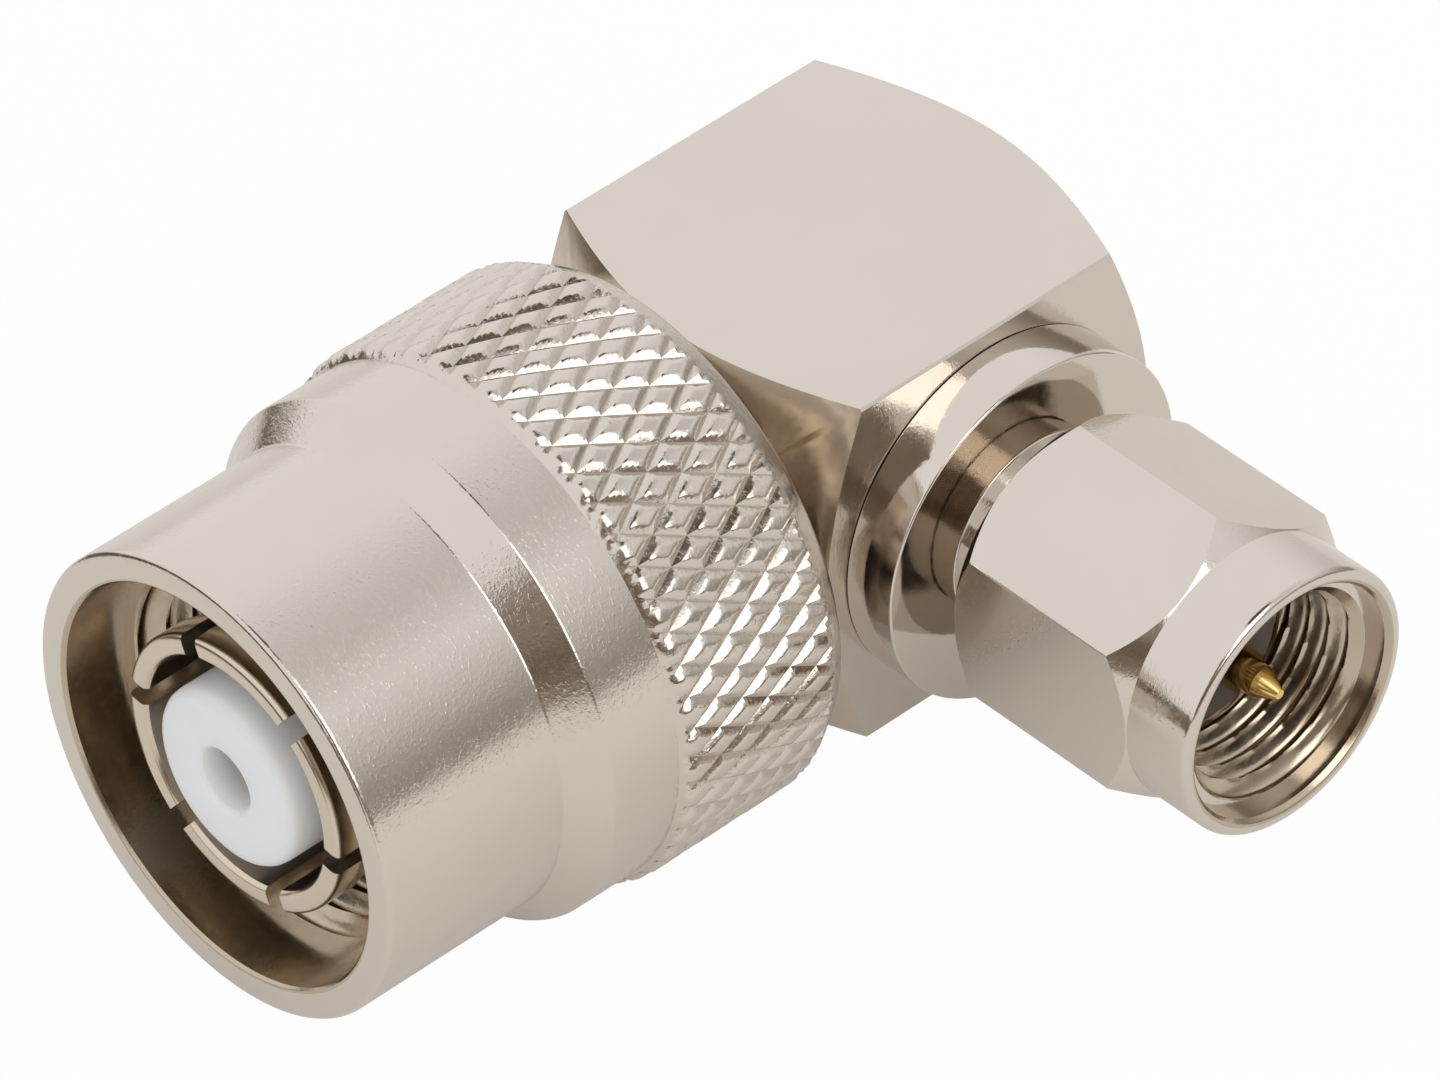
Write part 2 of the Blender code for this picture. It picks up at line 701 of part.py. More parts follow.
def make_sma_pin(material):
    """The gold centre pin: cone, pin, thicker shank in the dielectric, and the tail."""
    cone_back = sma_pin_tip - SMA_PIN_CONE
    tip = SMA_PIN_TIP_DIAMETER / 2
    tail_back = -SMA_PIN_TAIL_LENGTH
    shank_back = socket_radius + PRESS_GAP
    outline = [
        (sma_pin_tip, 0),
        (sma_pin_tip, tip),
        (cone_back, sma_pin_radius),
        (sma_reference, sma_pin_radius),
        (sma_reference, sma_shank_radius),
        (shank_back, sma_shank_radius),
        (shank_back, sma_tail_radius),
        (tail_back, sma_tail_radius),
        (tail_back, 0),
    ]
    return dress(turned("sma_center_pin", outline, FACETS_SMALL, SMA_TURN, False), material)


def make_sma_nut(material):
    """The hexagon coupling nut, a turned blank milled to six flats with one corner up."""
    corner = hex_corner_radius
    lead = SMA_MOUTH_DIAMETER / 2
    neck = sma_neck_radius + RUNNING_GAP
    groove = sma_ring_outer + RING_GAP
    groove_front = sma_ring_front + RING_GAP
    back_chamfer_radius = corner - HEX_BACK_CHAMFER
    outline = [
        (sma_mouth - SMA_LIP, lead),
        (sma_mouth, lead + SMA_LIP),
        (sma_mouth, nose_radius - NOSE_EDGE),
        (sma_mouth - NOSE_EDGE, nose_radius),
        (nose_back, nose_radius),
        (hex_front, corner),
        (hex_back, corner),
        (sma_nut_back, back_chamfer_radius),
        (sma_nut_back, neck),
        (sma_groove_back, neck),
        (sma_groove_back, groove),
        (groove_front, groove),
        (groove_front, neck),
        (sma_relief_back, neck),
        (sma_relief_back, SMA_RELIEF_DIAMETER / 2),
        (sma_thread_back, SMA_RELIEF_DIAMETER / 2),
        (sma_thread_back, sma_thread_core),
        (sma_thread_front, sma_thread_core),
        (sma_thread_front, lead),
    ]
    nut = turned("sma_coupling_nut", outline, FACETS_LARGE, SMA_TURN)
    length = sma_mouth - sma_nut_back + CUT_PAST
    flats = prism("hexagon_bar", 6, corner, length, SMA_TURN, (sma_mouth + sma_nut_back) / 2)
    combine(nut, flats, "INTERSECT")
    return dress(nut, material)


def build():
    """Make every piece of the adapter."""
    nickel = finish_material("nickel_polished", (0.62, 0.58, 0.52), 0.22, 1)
    satin = finish_material("nickel_satin", (0.60, 0.56, 0.50), 0.38, 1)
    spring = finish_material("contact_nickel", (0.66, 0.63, 0.58), 0.20, 1)
    bronze = finish_material("spring_bronze", (0.55, 0.42, 0.28), 0.35, 1)
    gold = finish_material("gold_plate", (0.83, 0.60, 0.22), 0.18, 1)
    ptfe = finish_material("ptfe_white", (0.86, 0.87, 0.88), 0.45, 0)
    rubber = finish_material("gasket_rubber", (0.55, 0.16, 0.10), 0.6, 0)

    make_block(satin)
    make_end_cap(satin)
    make_tnc_neck(nickel)
    make_tnc_contact(spring)
    make_tnc_insulator(ptfe)
    make_tnc_socket(gold)
    make_gasket("tnc_gasket", tnc_neck_front + PRESS_GAP, tnc_gasket_front,
                tnc_pilot_radius + PRESS_GAP, tnc_gasket_radius, FACETS_MEDIUM, TNC_TURN, rubber)
    make_snap_ring("tnc_snap_ring", tnc_ring_back, tnc_ring_front, tnc_ring_inner, tnc_ring_outer,
                   FACETS_MEDIUM, TNC_TURN, bronze)
    make_tnc_nut(satin)
    make_sma_ferrule(nickel)
    make_sma_insulator(ptfe)
    make_sma_pin(gold)
    make_gasket("sma_gasket", sma_neck_front + PRESS_GAP, sma_gasket_front,
                sma_sleeve_radius + PRESS_GAP, SMA_GASKET_DIAMETER / 2, FACETS_MEDIUM,
                SMA_TURN, rubber)
    make_snap_ring("sma_snap_ring", sma_ring_back, sma_ring_front, sma_ring_inner, sma_ring_outer,
                   FACETS_MEDIUM, SMA_TURN, bronze)
    make_sma_nut(satin)


build()
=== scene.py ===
# %% [markdown]
# # A right-angle coaxial adapter
#
# This lesson dresses a small plumbing joint for radio signals. A square metal body carries a
# large knurled plug on one side and a small hexagon-nut plug on the other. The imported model
# already holds every piece in its place, so the lesson starts by loading it as a fixed frame.
# Everything made below either replaces one of its nodes with a finer one or gives it a finish.

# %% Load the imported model
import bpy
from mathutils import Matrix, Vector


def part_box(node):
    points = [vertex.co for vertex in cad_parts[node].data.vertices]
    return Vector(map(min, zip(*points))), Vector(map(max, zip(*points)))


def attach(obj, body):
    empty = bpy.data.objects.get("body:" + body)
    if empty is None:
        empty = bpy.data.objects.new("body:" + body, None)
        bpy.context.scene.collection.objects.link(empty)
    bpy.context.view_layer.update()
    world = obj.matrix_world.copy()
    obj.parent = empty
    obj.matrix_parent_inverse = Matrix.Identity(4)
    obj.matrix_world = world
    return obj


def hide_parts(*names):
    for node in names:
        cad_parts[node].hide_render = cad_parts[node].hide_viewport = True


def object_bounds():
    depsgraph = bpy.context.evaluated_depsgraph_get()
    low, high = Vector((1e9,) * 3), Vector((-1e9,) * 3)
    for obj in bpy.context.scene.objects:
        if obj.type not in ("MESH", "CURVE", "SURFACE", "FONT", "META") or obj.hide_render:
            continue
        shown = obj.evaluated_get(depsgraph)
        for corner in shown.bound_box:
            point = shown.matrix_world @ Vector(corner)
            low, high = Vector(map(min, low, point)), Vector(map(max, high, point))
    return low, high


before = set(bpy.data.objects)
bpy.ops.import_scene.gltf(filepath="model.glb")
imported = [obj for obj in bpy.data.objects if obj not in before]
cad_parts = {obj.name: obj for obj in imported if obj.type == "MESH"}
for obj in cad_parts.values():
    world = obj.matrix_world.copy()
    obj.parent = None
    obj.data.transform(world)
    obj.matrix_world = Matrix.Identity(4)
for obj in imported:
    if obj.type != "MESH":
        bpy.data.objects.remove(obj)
cad_low, cad_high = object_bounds()
print("packed model:", tuple(cad_low), tuple(cad_high))

# %% [markdown]
# ## One axis for each plug
#
# Nearly every piece of the adapter was turned on a lathe, so it is round about one of two
# axes that cross inside the body. Each piece could be drawn straight in the model's own
# frame, but a lathe only ever knows its own axis. So each piece is drawn about its own +Z, and
# a seat, one matrix for each plug, puts it in place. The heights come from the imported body.

# %% The seats of the two plugs
import math

import bmesh
import bpy
from mathutils import Matrix, Vector

MM = 0.001
body_low, body_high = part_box("body_block")
axis_height = (body_low.z + body_high.z) / 2
lift = Matrix.Translation((0, 0, axis_height))
tnc_seat = lift @ Matrix.Rotation(math.radians(90), 4, "X")
sma_seat = lift @ Matrix.Rotation(math.radians(90), 4, "Y")


def reach(node, seat):
    """Back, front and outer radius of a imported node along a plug's axis, in millimetres."""
    one, two = (seat.inverted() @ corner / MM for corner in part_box(node))
    back, front = sorted((one.z, two.z))
    radius = max(abs(one.x), abs(two.x), abs(one.y), abs(two.y))
    return back, front, radius


for node, seat in (("tnc_coupling_nut", tnc_seat), ("sma_coupling_nut", sma_seat)):
    print(node, "back, mouth, radius:", reach(node, seat))

# %% [markdown]
# ## A lathe made of rings
#
# A turned piece is a stack of rings. Blender's Screw modifier could spin an outline too, but
# here some rings have to follow a thread, a knurl or the flats of a spanner hexagon. So each
# ring is a plain list of points (place along the axis, radius, angle), and one function skins
# neighbouring rings. A ring may have twice as many points as its neighbour, which keeps the
# knurl fine and the rest light, or only one point where the surface meets the axis.

# %% Rings and the skin between them
SOFT_STEPS = 4
CREASE_MM = 0.01
CRISP_DEG = 32
WELD = 1e-8


def even(sides):
    """Angles at equal steps round the axis."""
    return [math.tau * side / sides for side in range(sides)]


def softened(corners):
    """An outline of corners, each (along, radius, softness), rounded over that last length."""
    points = []
    for index, (along, radius, soft) in enumerate(corners):
        corner = Vector((along, radius))
        if soft == 0 or index in (0, len(corners) - 1):
            points.append((along, radius))
            continue
        before = Vector(corners[index - 1][:2]) - corner
        after = Vector(corners[index + 1][:2]) - corner
        start = corner + before.normalized() * soft
        end = corner + after.normalized() * soft
        for step in range(SOFT_STEPS + 1):
            share = step / SOFT_STEPS
            points.append(tuple(start.lerp(corner, share).lerp(corner.lerp(end, share), share)))
    return points


def plain_rings(outline, angles):
    """A round ring for every point of an outline, or a single point on the axis."""
    rings = []
    for along, radius in outline:
        if radius == 0:
            rings.append([(along, 0, 0)])
        else:
            rings.append([(along, radius, angle) for angle in angles])
    return rings


def strip(one, first_one, two, first_two):
    """Faces between two rings. A bent face is split along the diagonal that its crease follows."""
    sides = max(len(one), len(two))
    faces = []
    for side in range(sides):
        a, b = (side * len(one) // sides, (side + 1) * len(one) // sides % len(one))
        c, d = ((side + 1) * len(two) // sides % len(two), side * len(two) // sides)
        corners = [first_one + a, first_one + b, first_two + c, first_two + d]
        bend = one[a][1] + two[c][1] - one[b][1] - two[d][1]
        if len(set(corners)) == 4 and abs(bend) > CREASE_MM:
            first_fall = abs(one[a][1] - two[c][1])
            other_fall = abs(one[b][1] - two[d][1])
            level = abs(first_fall - other_fall) < CREASE_MM
            turn = bend > 0 if level else first_fall > other_fall
            corners = corners[turn:] + corners[:turn]
            faces.append(corners[:3])
            faces.append([corners[0], corners[2], corners[3]])
        else:
            faces.append(list(dict.fromkeys(corners)))
    return faces


def turned(name, rings, seat, closed=True):
    """A solid from a stack of rings. A hollow piece's last ring joins its first."""
    points = []
    starts = []
    for ring in rings:
        starts.append(len(points))
        for along, radius, angle in ring:
            spot = (radius * math.cos(angle), radius * math.sin(angle), along)
            points.append([part * MM for part in spot])
    faces = []
    count = len(rings)
    for index in range(count if closed else count - 1):
        after = (index + 1) % count
        faces += strip(rings[index], starts[index], rings[after], starts[after])
    mesh = bpy.data.meshes.new(name)
    mesh.from_pydata(points, [], faces)
    form = bmesh.new()
    form.from_mesh(mesh)
    bmesh.ops.remove_doubles(form, verts=form.verts, dist=WELD)
    bmesh.ops.recalc_face_normals(form, faces=form.faces)
    form.to_mesh(mesh)
    form.free()
    piece = bpy.data.objects.new(name, mesh)
    bpy.context.scene.collection.objects.link(piece)
    piece.matrix_world = seat
    crisp(piece)
    return piece


def crisp(piece):
    """Shade a piece smooth, except over its real edges."""
    piece.data.shade_smooth()
    piece.data.set_sharp_from_angle(angle=math.radians(CRISP_DEG))


def seated(piece, body, node):
    """Put a finished piece on its body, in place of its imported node.

    Large faces keep their own shading right up to the small rounds beside them.
    """
    shading = piece.modifiers.new("face_shading", "WEIGHTED_NORMAL")
    shading.keep_sharp = True
    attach(piece, body)
    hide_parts(node)
    low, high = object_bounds()
    print(piece.name, len(piece.data.polygons), "faces; whole part now", tuple(high - low))


# %% [markdown]
# ## Threads cut inside the nuts
#
# Each coupling nut pulls its plug home with an internal thread. A thread could be a separate
# coil laid into the bore, but then the piece would be two shells. Cutting it as a helix in the
# radius of the rings keeps the nut one solid. Its crests are narrow and its roots broad and
# round, and a forty-five degree lead fades both ends out. The height is the standard share of
# the pitch.

# %% Helical thread rings
THREAD_ROWS = 16
THREAD_HEIGHT = 0.5413
CREST_FLAT = 0.03


def thread_rings(front, back, major, pitch, angles):
    """Rings of a right-hand internal thread, from its front to its back."""
    height = pitch * THREAD_HEIGHT
    rows = round((front - back) / pitch * THREAD_ROWS)
    rings = []
    for row in range(rows + 1):
        along = front + (back - front) * row / rows
        lead = major - min(front - along, along - back)
        ring = []
        for angle in angles:
            turns = along / pitch - angle / math.tau
            off_crest = abs(turns - round(turns))
            share = max(off_crest - CREST_FLAT, 0) / (0.5 - CREST_FLAT)
            share = math.sin(share * math.pi / 2)
            ring.append((along, max(major - height * (1 - share), lead), angle))
        rings.append(ring)
    return rings


# %% [markdown]
# ## A knurl pressed into a turned surface
#
# The large nut is turned from bar. Two sets of slanting grooves are then pressed into its back
# half, and what they leave standing is a lattice of flat-topped diamonds. A texture could only
# pretend to this, and a fine Boolean is slow. Since the knurl is a pattern in angle and place
# along the axis, the rings themselves can carry it. Their rows are spaced so that every groove
# and every edge of a diamond runs exactly from point to point.

# %% Knurl rings
KNURL_DIAMONDS = 51
KNURL_HELIX_DEG = 30
KNURL_CELLS = 12
KNURL_PROFILE = (1.0, 0.67, 0.34, 0.07, 0.0, 0.0, 0.0)
KNURL_DEPTH = 0.15
KNURL_EDGE_SLOPE = 1.1


def knurl_rings(front, back, crest, root, cone_start, cone_slope):
    """Rings of the pressed diamond pattern, from its front to where it runs out on the cone."""
    cell_round = math.tau * crest / KNURL_DIAMONDS
    row_step = cell_round / math.tan(math.radians(KNURL_HELIX_DEG)) / KNURL_CELLS
    rows = math.floor((front - back) / row_step)
    rings = []
    for row in range(rows, -1, -1):
        along = back + row * row_step
        edge = root + (front - along) * KNURL_EDGE_SLOPE
        cone = crest - (cone_start - along) * cone_slope
        ring = []
        for place, angle in enumerate(even(KNURL_DIAMONDS * KNURL_CELLS)):
            groove = max(KNURL_PROFILE[off_line(place + row)], KNURL_PROFILE[off_line(place - row)])
            ring.append((along, min(crest - KNURL_DEPTH * groove, edge, cone), angle))
        rings.append(ring)
    return rings


def off_line(place):
    """Steps from a place to the nearest groove of one set."""
    place %= KNURL_CELLS
    return min(place, KNURL_CELLS - place)


# %% [markdown]
# ## The knurled coupling nut
#
# From its mouth backwards the nut is a long barrel, a cone, a plain band, the knurl, and a cone
# on which the grooves run out. It could be put together from a barrel and a ring, but the real
# one is turned in one piece, so one stack of rings goes down its outside and back up its bore:
# round the neck, past the groove of the snap ring, the relief behind the thread and the thread.
# All places are counted from the mouth, since the mouth is what meets the other connector.

# %% The TNC coupling nut
TNC_SIDES = KNURL_DIAMONDS * KNURL_CELLS // 2
TNC_PITCH = 25.4 / 28
TNC_MAJOR = 11.112 / 2
TNC_THREAD_LENGTH = 7.0
BARREL_RADIUS = 6.87
BARREL_LENGTH = 6.05
CONE_LENGTH = 1.0
BAND_RADIUS = 7.72
BAND_LENGTH = 2.25
KNURL_ROOT = 7.72
KNURL_LENGTH = 5.15
NUT_BACK_LENGTH = 0.85
NUT_BACK_RIM = 0.12
NUT_CONE_RADIUS = 7.56
NUT_BACK_RADIUS = 7.46
NUT_BACK_RISE = 0.6
TNC_MOUTH_RADIUS = 5.95
TNC_MOUTH_DEPTH = 2.1
TNC_RELIEF_RADIUS = 5.75
TNC_NECK_HOLE = 5.08
TNC_GROOVE_RADIUS = 5.55
TNC_FLOAT = 0.40
RUNNING_GAP = 0.08
GAP = 0.05
MOUTH_LEAD = 0.10
MOUTH_FLARE = 0.08
CONE_OVERLAP = 0.02

_, tnc_mouth, crest_radius = reach("tnc_coupling_nut", tnc_seat)
ring_back, ring_front, _ = reach("tnc_snap_ring", tnc_seat)
neck_front = reach("tnc_gasket", tnc_seat)[0] - GAP
relief_back = neck_front - TNC_FLOAT - RUNNING_GAP
barrel_back = tnc_mouth - BARREL_LENGTH
cone_back = barrel_back - CONE_LENGTH
band_back = cone_back - BAND_LENGTH
knurl_back = band_back - KNURL_LENGTH
tnc_back = knurl_back - NUT_BACK_LENGTH
tnc_thread_front = tnc_mouth - TNC_MOUTH_DEPTH
tnc_thread_back = tnc_thread_front - TNC_THREAD_LENGTH

tnc_angles = even(TNC_SIDES)
front_side = softened([
    (tnc_mouth - MOUTH_LEAD, TNC_MOUTH_RADIUS, 0),
    (tnc_mouth, TNC_MOUTH_RADIUS + MOUTH_FLARE, 0.05),
    (tnc_mouth, BARREL_RADIUS, 0.16),
    (barrel_back, BARREL_RADIUS, 0.06),
    (cone_back, BAND_RADIUS, 0.06),
    (band_back, BAND_RADIUS, 0.04),
    (band_back, KNURL_ROOT, 0),
])
cone_end = tnc_back + NUT_BACK_RIM
cone_slope = (crest_radius - NUT_CONE_RADIUS) / (knurl_back - cone_end)
run_out = (crest_radius - KNURL_ROOT) / cone_slope
back_side = softened([
    (knurl_back - run_out - CONE_OVERLAP, KNURL_ROOT - CONE_OVERLAP * cone_slope, 0),
    (cone_end, NUT_CONE_RADIUS, 0.06),
    (tnc_back, NUT_BACK_RADIUS, 0.06),
    (tnc_back - NUT_BACK_RISE, TNC_NECK_HOLE, 0.06),
    (ring_back - GAP, TNC_NECK_HOLE, 0),
    (ring_back - GAP, TNC_GROOVE_RADIUS, 0),
    (ring_front + GAP, TNC_GROOVE_RADIUS, 0),
    (ring_front + GAP, TNC_NECK_HOLE, 0),
    (relief_back, TNC_NECK_HOLE, 0),
    (relief_back, TNC_RELIEF_RADIUS, 0.05),
    (tnc_thread_back, TNC_RELIEF_RADIUS, 0),
])
nut_rings = plain_rings(front_side, tnc_angles)
nut_rings += knurl_rings(band_back, knurl_back - run_out, crest_radius, KNURL_ROOT,
                         knurl_back, cone_slope)
nut_rings += plain_rings(back_side, tnc_angles)
nut_rings += thread_rings(tnc_thread_front, tnc_thread_back, TNC_MAJOR, TNC_PITCH, tnc_angles)[::-1]
nut_rings += plain_rings([(tnc_thread_front, TNC_MOUTH_RADIUS)], tnc_angles)
tnc_nut = turned("tnc_nut_knurled", nut_rings, tnc_seat)
seated(tnc_nut, "tnc_nut", "tnc_coupling_nut")

# %% [markdown]
# ## Milled flats on a turned bar
#
# The hexagon of the small nut and the square of the body are made alike: a bar with flats is
# put in the lathe and its corners are turned down at both ends. Where the turned cone runs out
# on a flat it draws a curve, and that curve is what makes such metal look right. A Boolean of
# a cone and a bar finds it too, but leaves long thin faces. The rings can follow the curve
# exactly: at every angle the bar's radius is known, and so is the place where the cone has it.
# Each long edge gets a narrow round, with close rings of points beside it.

# %% Rings of a bar with flats
FLAT_STEPS = 40
EDGE_BREAK_DEG = 0.35
EDGE_GUARD_DEG = 0.5


def bar_angles(flats, first_deg):
    """Angles round the bar: even steps over each flat and close ones at its edges."""
    half = 180 / flats
    offsets = [-half, -half + EDGE_BREAK_DEG, -half + EDGE_BREAK_DEG + EDGE_GUARD_DEG]
    reach_deg = -offsets[-1]
    offsets += [reach_deg * (2 * step / FLAT_STEPS - 1) for step in range(1, FLAT_STEPS)]
    offsets += [reach_deg, half - EDGE_BREAK_DEG]
    angles = []
    for flat in range(flats):
        middle = first_deg + flat * 360 / flats
        angles += [math.radians(middle + offset) for offset in offsets]
    return angles


def bar_radius(angle, flats, first_deg, apothem):
    """Radius of the bar at an angle. Its long edges are broken by a narrow round."""
    sector = math.tau / flats
    off = (angle - math.radians(first_deg) + sector / 2) % sector - sector / 2
    limit = apothem / math.cos(sector / 2 - math.radians(EDGE_BREAK_DEG))
    return min(apothem / math.cos(off), limit)


def bar_rings(flats, first_deg, apothem, front_end, back_end, angles):
    """The bar's outside from its front face to its back face.

    Each end is (along, radius of its face, along per radius of its turned cone).
    """
    rings = []
    ends = (front_end, -1, (0, 1)), (back_end, 1, (1, 0))
    for (along, face, slope), way, order in ends:
        for onto_flat in order:
            ring = []
            for angle in angles:
                bar = bar_radius(angle, flats, first_deg, apothem)
                rise = max(0, bar - face) * onto_flat
                ring.append((along + way * rise * slope, min(face, bar) + rise, angle))
            rings.append(ring)
    return rings


# %% [markdown]
# ## The hexagon coupling nut
#
# A spanner turns this nut by its flats. In front of them a round nose holds the thread's start.
# A hexagonal cylinder with a bevel would get flat facets at its corners instead of a turned
# cone. The bar's rings make the outside, and the rest is turned like the large nut.

# %% The hexagon coupling nut
HEX_FLATS = 6
HEX_FIRST_DEG = 30
HEX_APOTHEM = 4.0
HEX_CORNER = HEX_APOTHEM * 2 / math.sqrt(3)
HEX_BACK_CHAMFER = 0.6
HEX_FRONT_CHAMFER = 0.75
NOSE_LENGTH = 2.15
NOSE_RADIUS = 3.98
SMA_PITCH = 25.4 / 36
SMA_MAJOR = 6.35 / 2
SMA_THREAD_LENGTH = 4.4
SMA_LEAD_RADIUS = 3.5
SMA_MOUTH_DEPTH = 0.55
SMA_RELIEF_RADIUS = 3.3
SMA_NECK_HOLE = 2.94
SMA_GROOVE_RADIUS = 3.3
SMA_FLOAT = 0.35
NOSE_LEAD = 0.16
NOSE_FLARE = 0.12
NOSE_GUARD = 0.02

sma_back, sma_mouth, _ = reach("sma_coupling_nut", sma_seat)
sma_ring_back, sma_ring_front, _ = reach("sma_snap_ring", sma_seat)
sma_neck_front = reach("sma_gasket", sma_seat)[0] - GAP
sma_relief_back = sma_neck_front - SMA_FLOAT - RUNNING_GAP
nose_back = sma_mouth - NOSE_LENGTH
sma_thread_front = sma_mouth - SMA_MOUTH_DEPTH
sma_thread_back = sma_thread_front - SMA_THREAD_LENGTH
hex_angles = bar_angles(HEX_FLATS, HEX_FIRST_DEG)
front_slope = HEX_FRONT_CHAMFER / (HEX_CORNER - NOSE_RADIUS)
nose = softened([
    (sma_mouth - NOSE_LEAD, SMA_LEAD_RADIUS, 0),
    (sma_mouth, SMA_LEAD_RADIUS + NOSE_FLARE, 0.07),
    (sma_mouth, NOSE_RADIUS, 0.22),
    (nose_back + NOSE_GUARD, NOSE_RADIUS, 0),
])
inside = softened([
    (sma_back, SMA_NECK_HOLE, 0),
    (sma_ring_back - GAP, SMA_NECK_HOLE, 0),
    (sma_ring_back - GAP, SMA_GROOVE_RADIUS, 0),
    (sma_ring_front + GAP, SMA_GROOVE_RADIUS, 0),
    (sma_ring_front + GAP, SMA_NECK_HOLE, 0),
    (sma_relief_back, SMA_NECK_HOLE, 0),
    (sma_relief_back, SMA_RELIEF_RADIUS, 0.04),
    (sma_thread_back, SMA_RELIEF_RADIUS, 0),
])
hex_rings = plain_rings(nose, hex_angles)
hex_front = (nose_back, NOSE_RADIUS, front_slope)
hex_back = (sma_back, HEX_CORNER - HEX_BACK_CHAMFER, 1)
hex_rings += bar_rings(HEX_FLATS, HEX_FIRST_DEG, HEX_APOTHEM, hex_front, hex_back, hex_angles)
hex_rings += plain_rings(inside, hex_angles)
hex_rings += thread_rings(sma_thread_front, sma_thread_back, SMA_MAJOR, SMA_PITCH, hex_angles)[::-1]
hex_rings += plain_rings([(sma_thread_front, SMA_LEAD_RADIUS)], hex_angles)
sma_nut = turned("sma_nut_hexagon", hex_rings, sma_seat)
seated(sma_nut, "sma_nut", "sma_coupling_nut")

# %% [markdown]
# ## The square body
#
# The body is a length of square bar with its corners turned down, bored through for the large
# plug and from one side for the small one. The bar's rings give the outside and the long bore
# together. The side bore isn't round about that axis, so it is the one cut that a Boolean does
# best: a short round cutter takes it out, and the cutter is thrown away.

# %% Body block
BLOCK_FLATS = 4
BLOCK_FIRST_DEG = 0
BLOCK_FACE_RADIUS = 5.70
BLOCK_SLOPE = math.tan(math.radians(30))
NECK_BORE = 4.40
NECK_BORE_DEPTH = 2.854
CAVITY_RADIUS = 3.3
CAP_RECESS_RADIUS = 4.3
RECESS_CHAMFER = 0.04
SIDE_BORE_RADIUS = 2.95
SIDE_BORE_SIDES = 128
CUT_PAST = 1.0

block_back, block_front, _ = reach("body_block", tnc_seat)
block_apothem = (body_high.x - body_low.x) / 2 / MM
cap_floor = reach("end_cap", tnc_seat)[1] + GAP
block_angles = bar_angles(BLOCK_FLATS, BLOCK_FIRST_DEG)
block_ends = [(end, BLOCK_FACE_RADIUS, BLOCK_SLOPE) for end in (block_front, block_back)]
block_rings = bar_rings(BLOCK_FLATS, BLOCK_FIRST_DEG, block_apothem, *block_ends, block_angles)
block_rings += plain_rings([
    (block_back, CAP_RECESS_RADIUS + RECESS_CHAMFER),
    (block_back + RECESS_CHAMFER, CAP_RECESS_RADIUS),
    (cap_floor, CAP_RECESS_RADIUS),
    (cap_floor, CAVITY_RADIUS),
    (block_front - NECK_BORE_DEPTH, CAVITY_RADIUS),
    (block_front - NECK_BORE_DEPTH, NECK_BORE),
    (block_front, NECK_BORE),
], block_angles)
block = turned("body_square", block_rings, tnc_seat)


def cut(piece, cutter):
    """Take a cutter's shape out of a piece, and throw the cutter away."""
    step = piece.modifiers.new("cut", "BOOLEAN")
    step.object = cutter
    step.solver = "EXACT"
    bpy.context.view_layer.update()
    graph = bpy.context.evaluated_depsgraph_get()
    mesh = bpy.data.meshes.new_from_object(piece.evaluated_get(graph))
    piece.modifiers.clear()
    piece.data = mesh
    bpy.data.objects.remove(cutter)
    crisp(piece)


side_outline = [
    (0, 0),
    (0, SIDE_BORE_RADIUS),
    (block_apothem + CUT_PAST, SIDE_BORE_RADIUS),
    (block_apothem + CUT_PAST, 0),
]
side_rings = plain_rings(side_outline, even(SIDE_BORE_SIDES))
cut(block, turned("side_bore", side_rings, sma_seat, closed=False))
seated(block, "adapter_body", "body_block")

# %% [markdown]
# ## The flange and its neck
#
# Between the body and the hexagon nut sits one small turned piece: a flange against the body,
# a neck for the nut to turn on, and the thin sleeve that touches the other connector. Its groove
# is wider than the snap ring by what the nut can slide and a small gap on each side. Cylinders
# laid together would leave seams at the steps, so the whole piece is one outline spun about its
# axis.

# %% Flange ferrule
FLANGE_RADIUS = 5.2
FLANGE_THICKNESS = 1.66
SLEEVE_BORE = 2.06
SLEEVE_RADIUS = 2.28
SMA_NECK_RADIUS = 2.9
SMA_NECK_GROOVE = 2.5
FLANGE_GAP = 0.02
FLANGE_SIDES = 256

tail, reference_plane, _ = reach("sma_flange_ferrule", sma_seat)
flange_back = block_apothem + FLANGE_GAP
flange_front = flange_back + FLANGE_THICKNESS
ferrule_rings = plain_rings(softened([
    (reference_plane, SLEEVE_BORE, 0),
    (reference_plane, SLEEVE_RADIUS, 0.03),
    (sma_neck_front, SLEEVE_RADIUS, 0),
    (sma_neck_front, SMA_NECK_RADIUS, 0.04),
    (sma_ring_front + SMA_FLOAT + GAP, SMA_NECK_RADIUS, 0),
    (sma_ring_front + SMA_FLOAT + GAP, SMA_NECK_GROOVE, 0),
    (sma_ring_back - GAP, SMA_NECK_GROOVE, 0),
    (sma_ring_back - GAP, SMA_NECK_RADIUS, 0),
    (flange_front, SMA_NECK_RADIUS, 0.07),
    (flange_front, FLANGE_RADIUS, 0.07),
    (flange_back, FLANGE_RADIUS, 0.04),
    (flange_back, SMA_NECK_RADIUS, 0),
    (tail, SMA_NECK_RADIUS, 0.05),
    (tail, SLEEVE_BORE, 0),
]), even(FLANGE_SIDES))
ferrule = turned("sma_flange_turned", ferrule_rings, sma_seat)
seated(ferrule, "adapter_body", "sma_flange_ferrule")

# %% [markdown]
# ## The cap behind
#
# A disc closes the back of the body once the joint inside has been soldered. It is pressed into
# a shallow recess, and its rounded rim leads it in. A beveled cylinder would do as well, but the
# outline keeps it alike with the rest.

# %% End cap
CAP_ROUND = 0.2
CAP_SIDES = 192

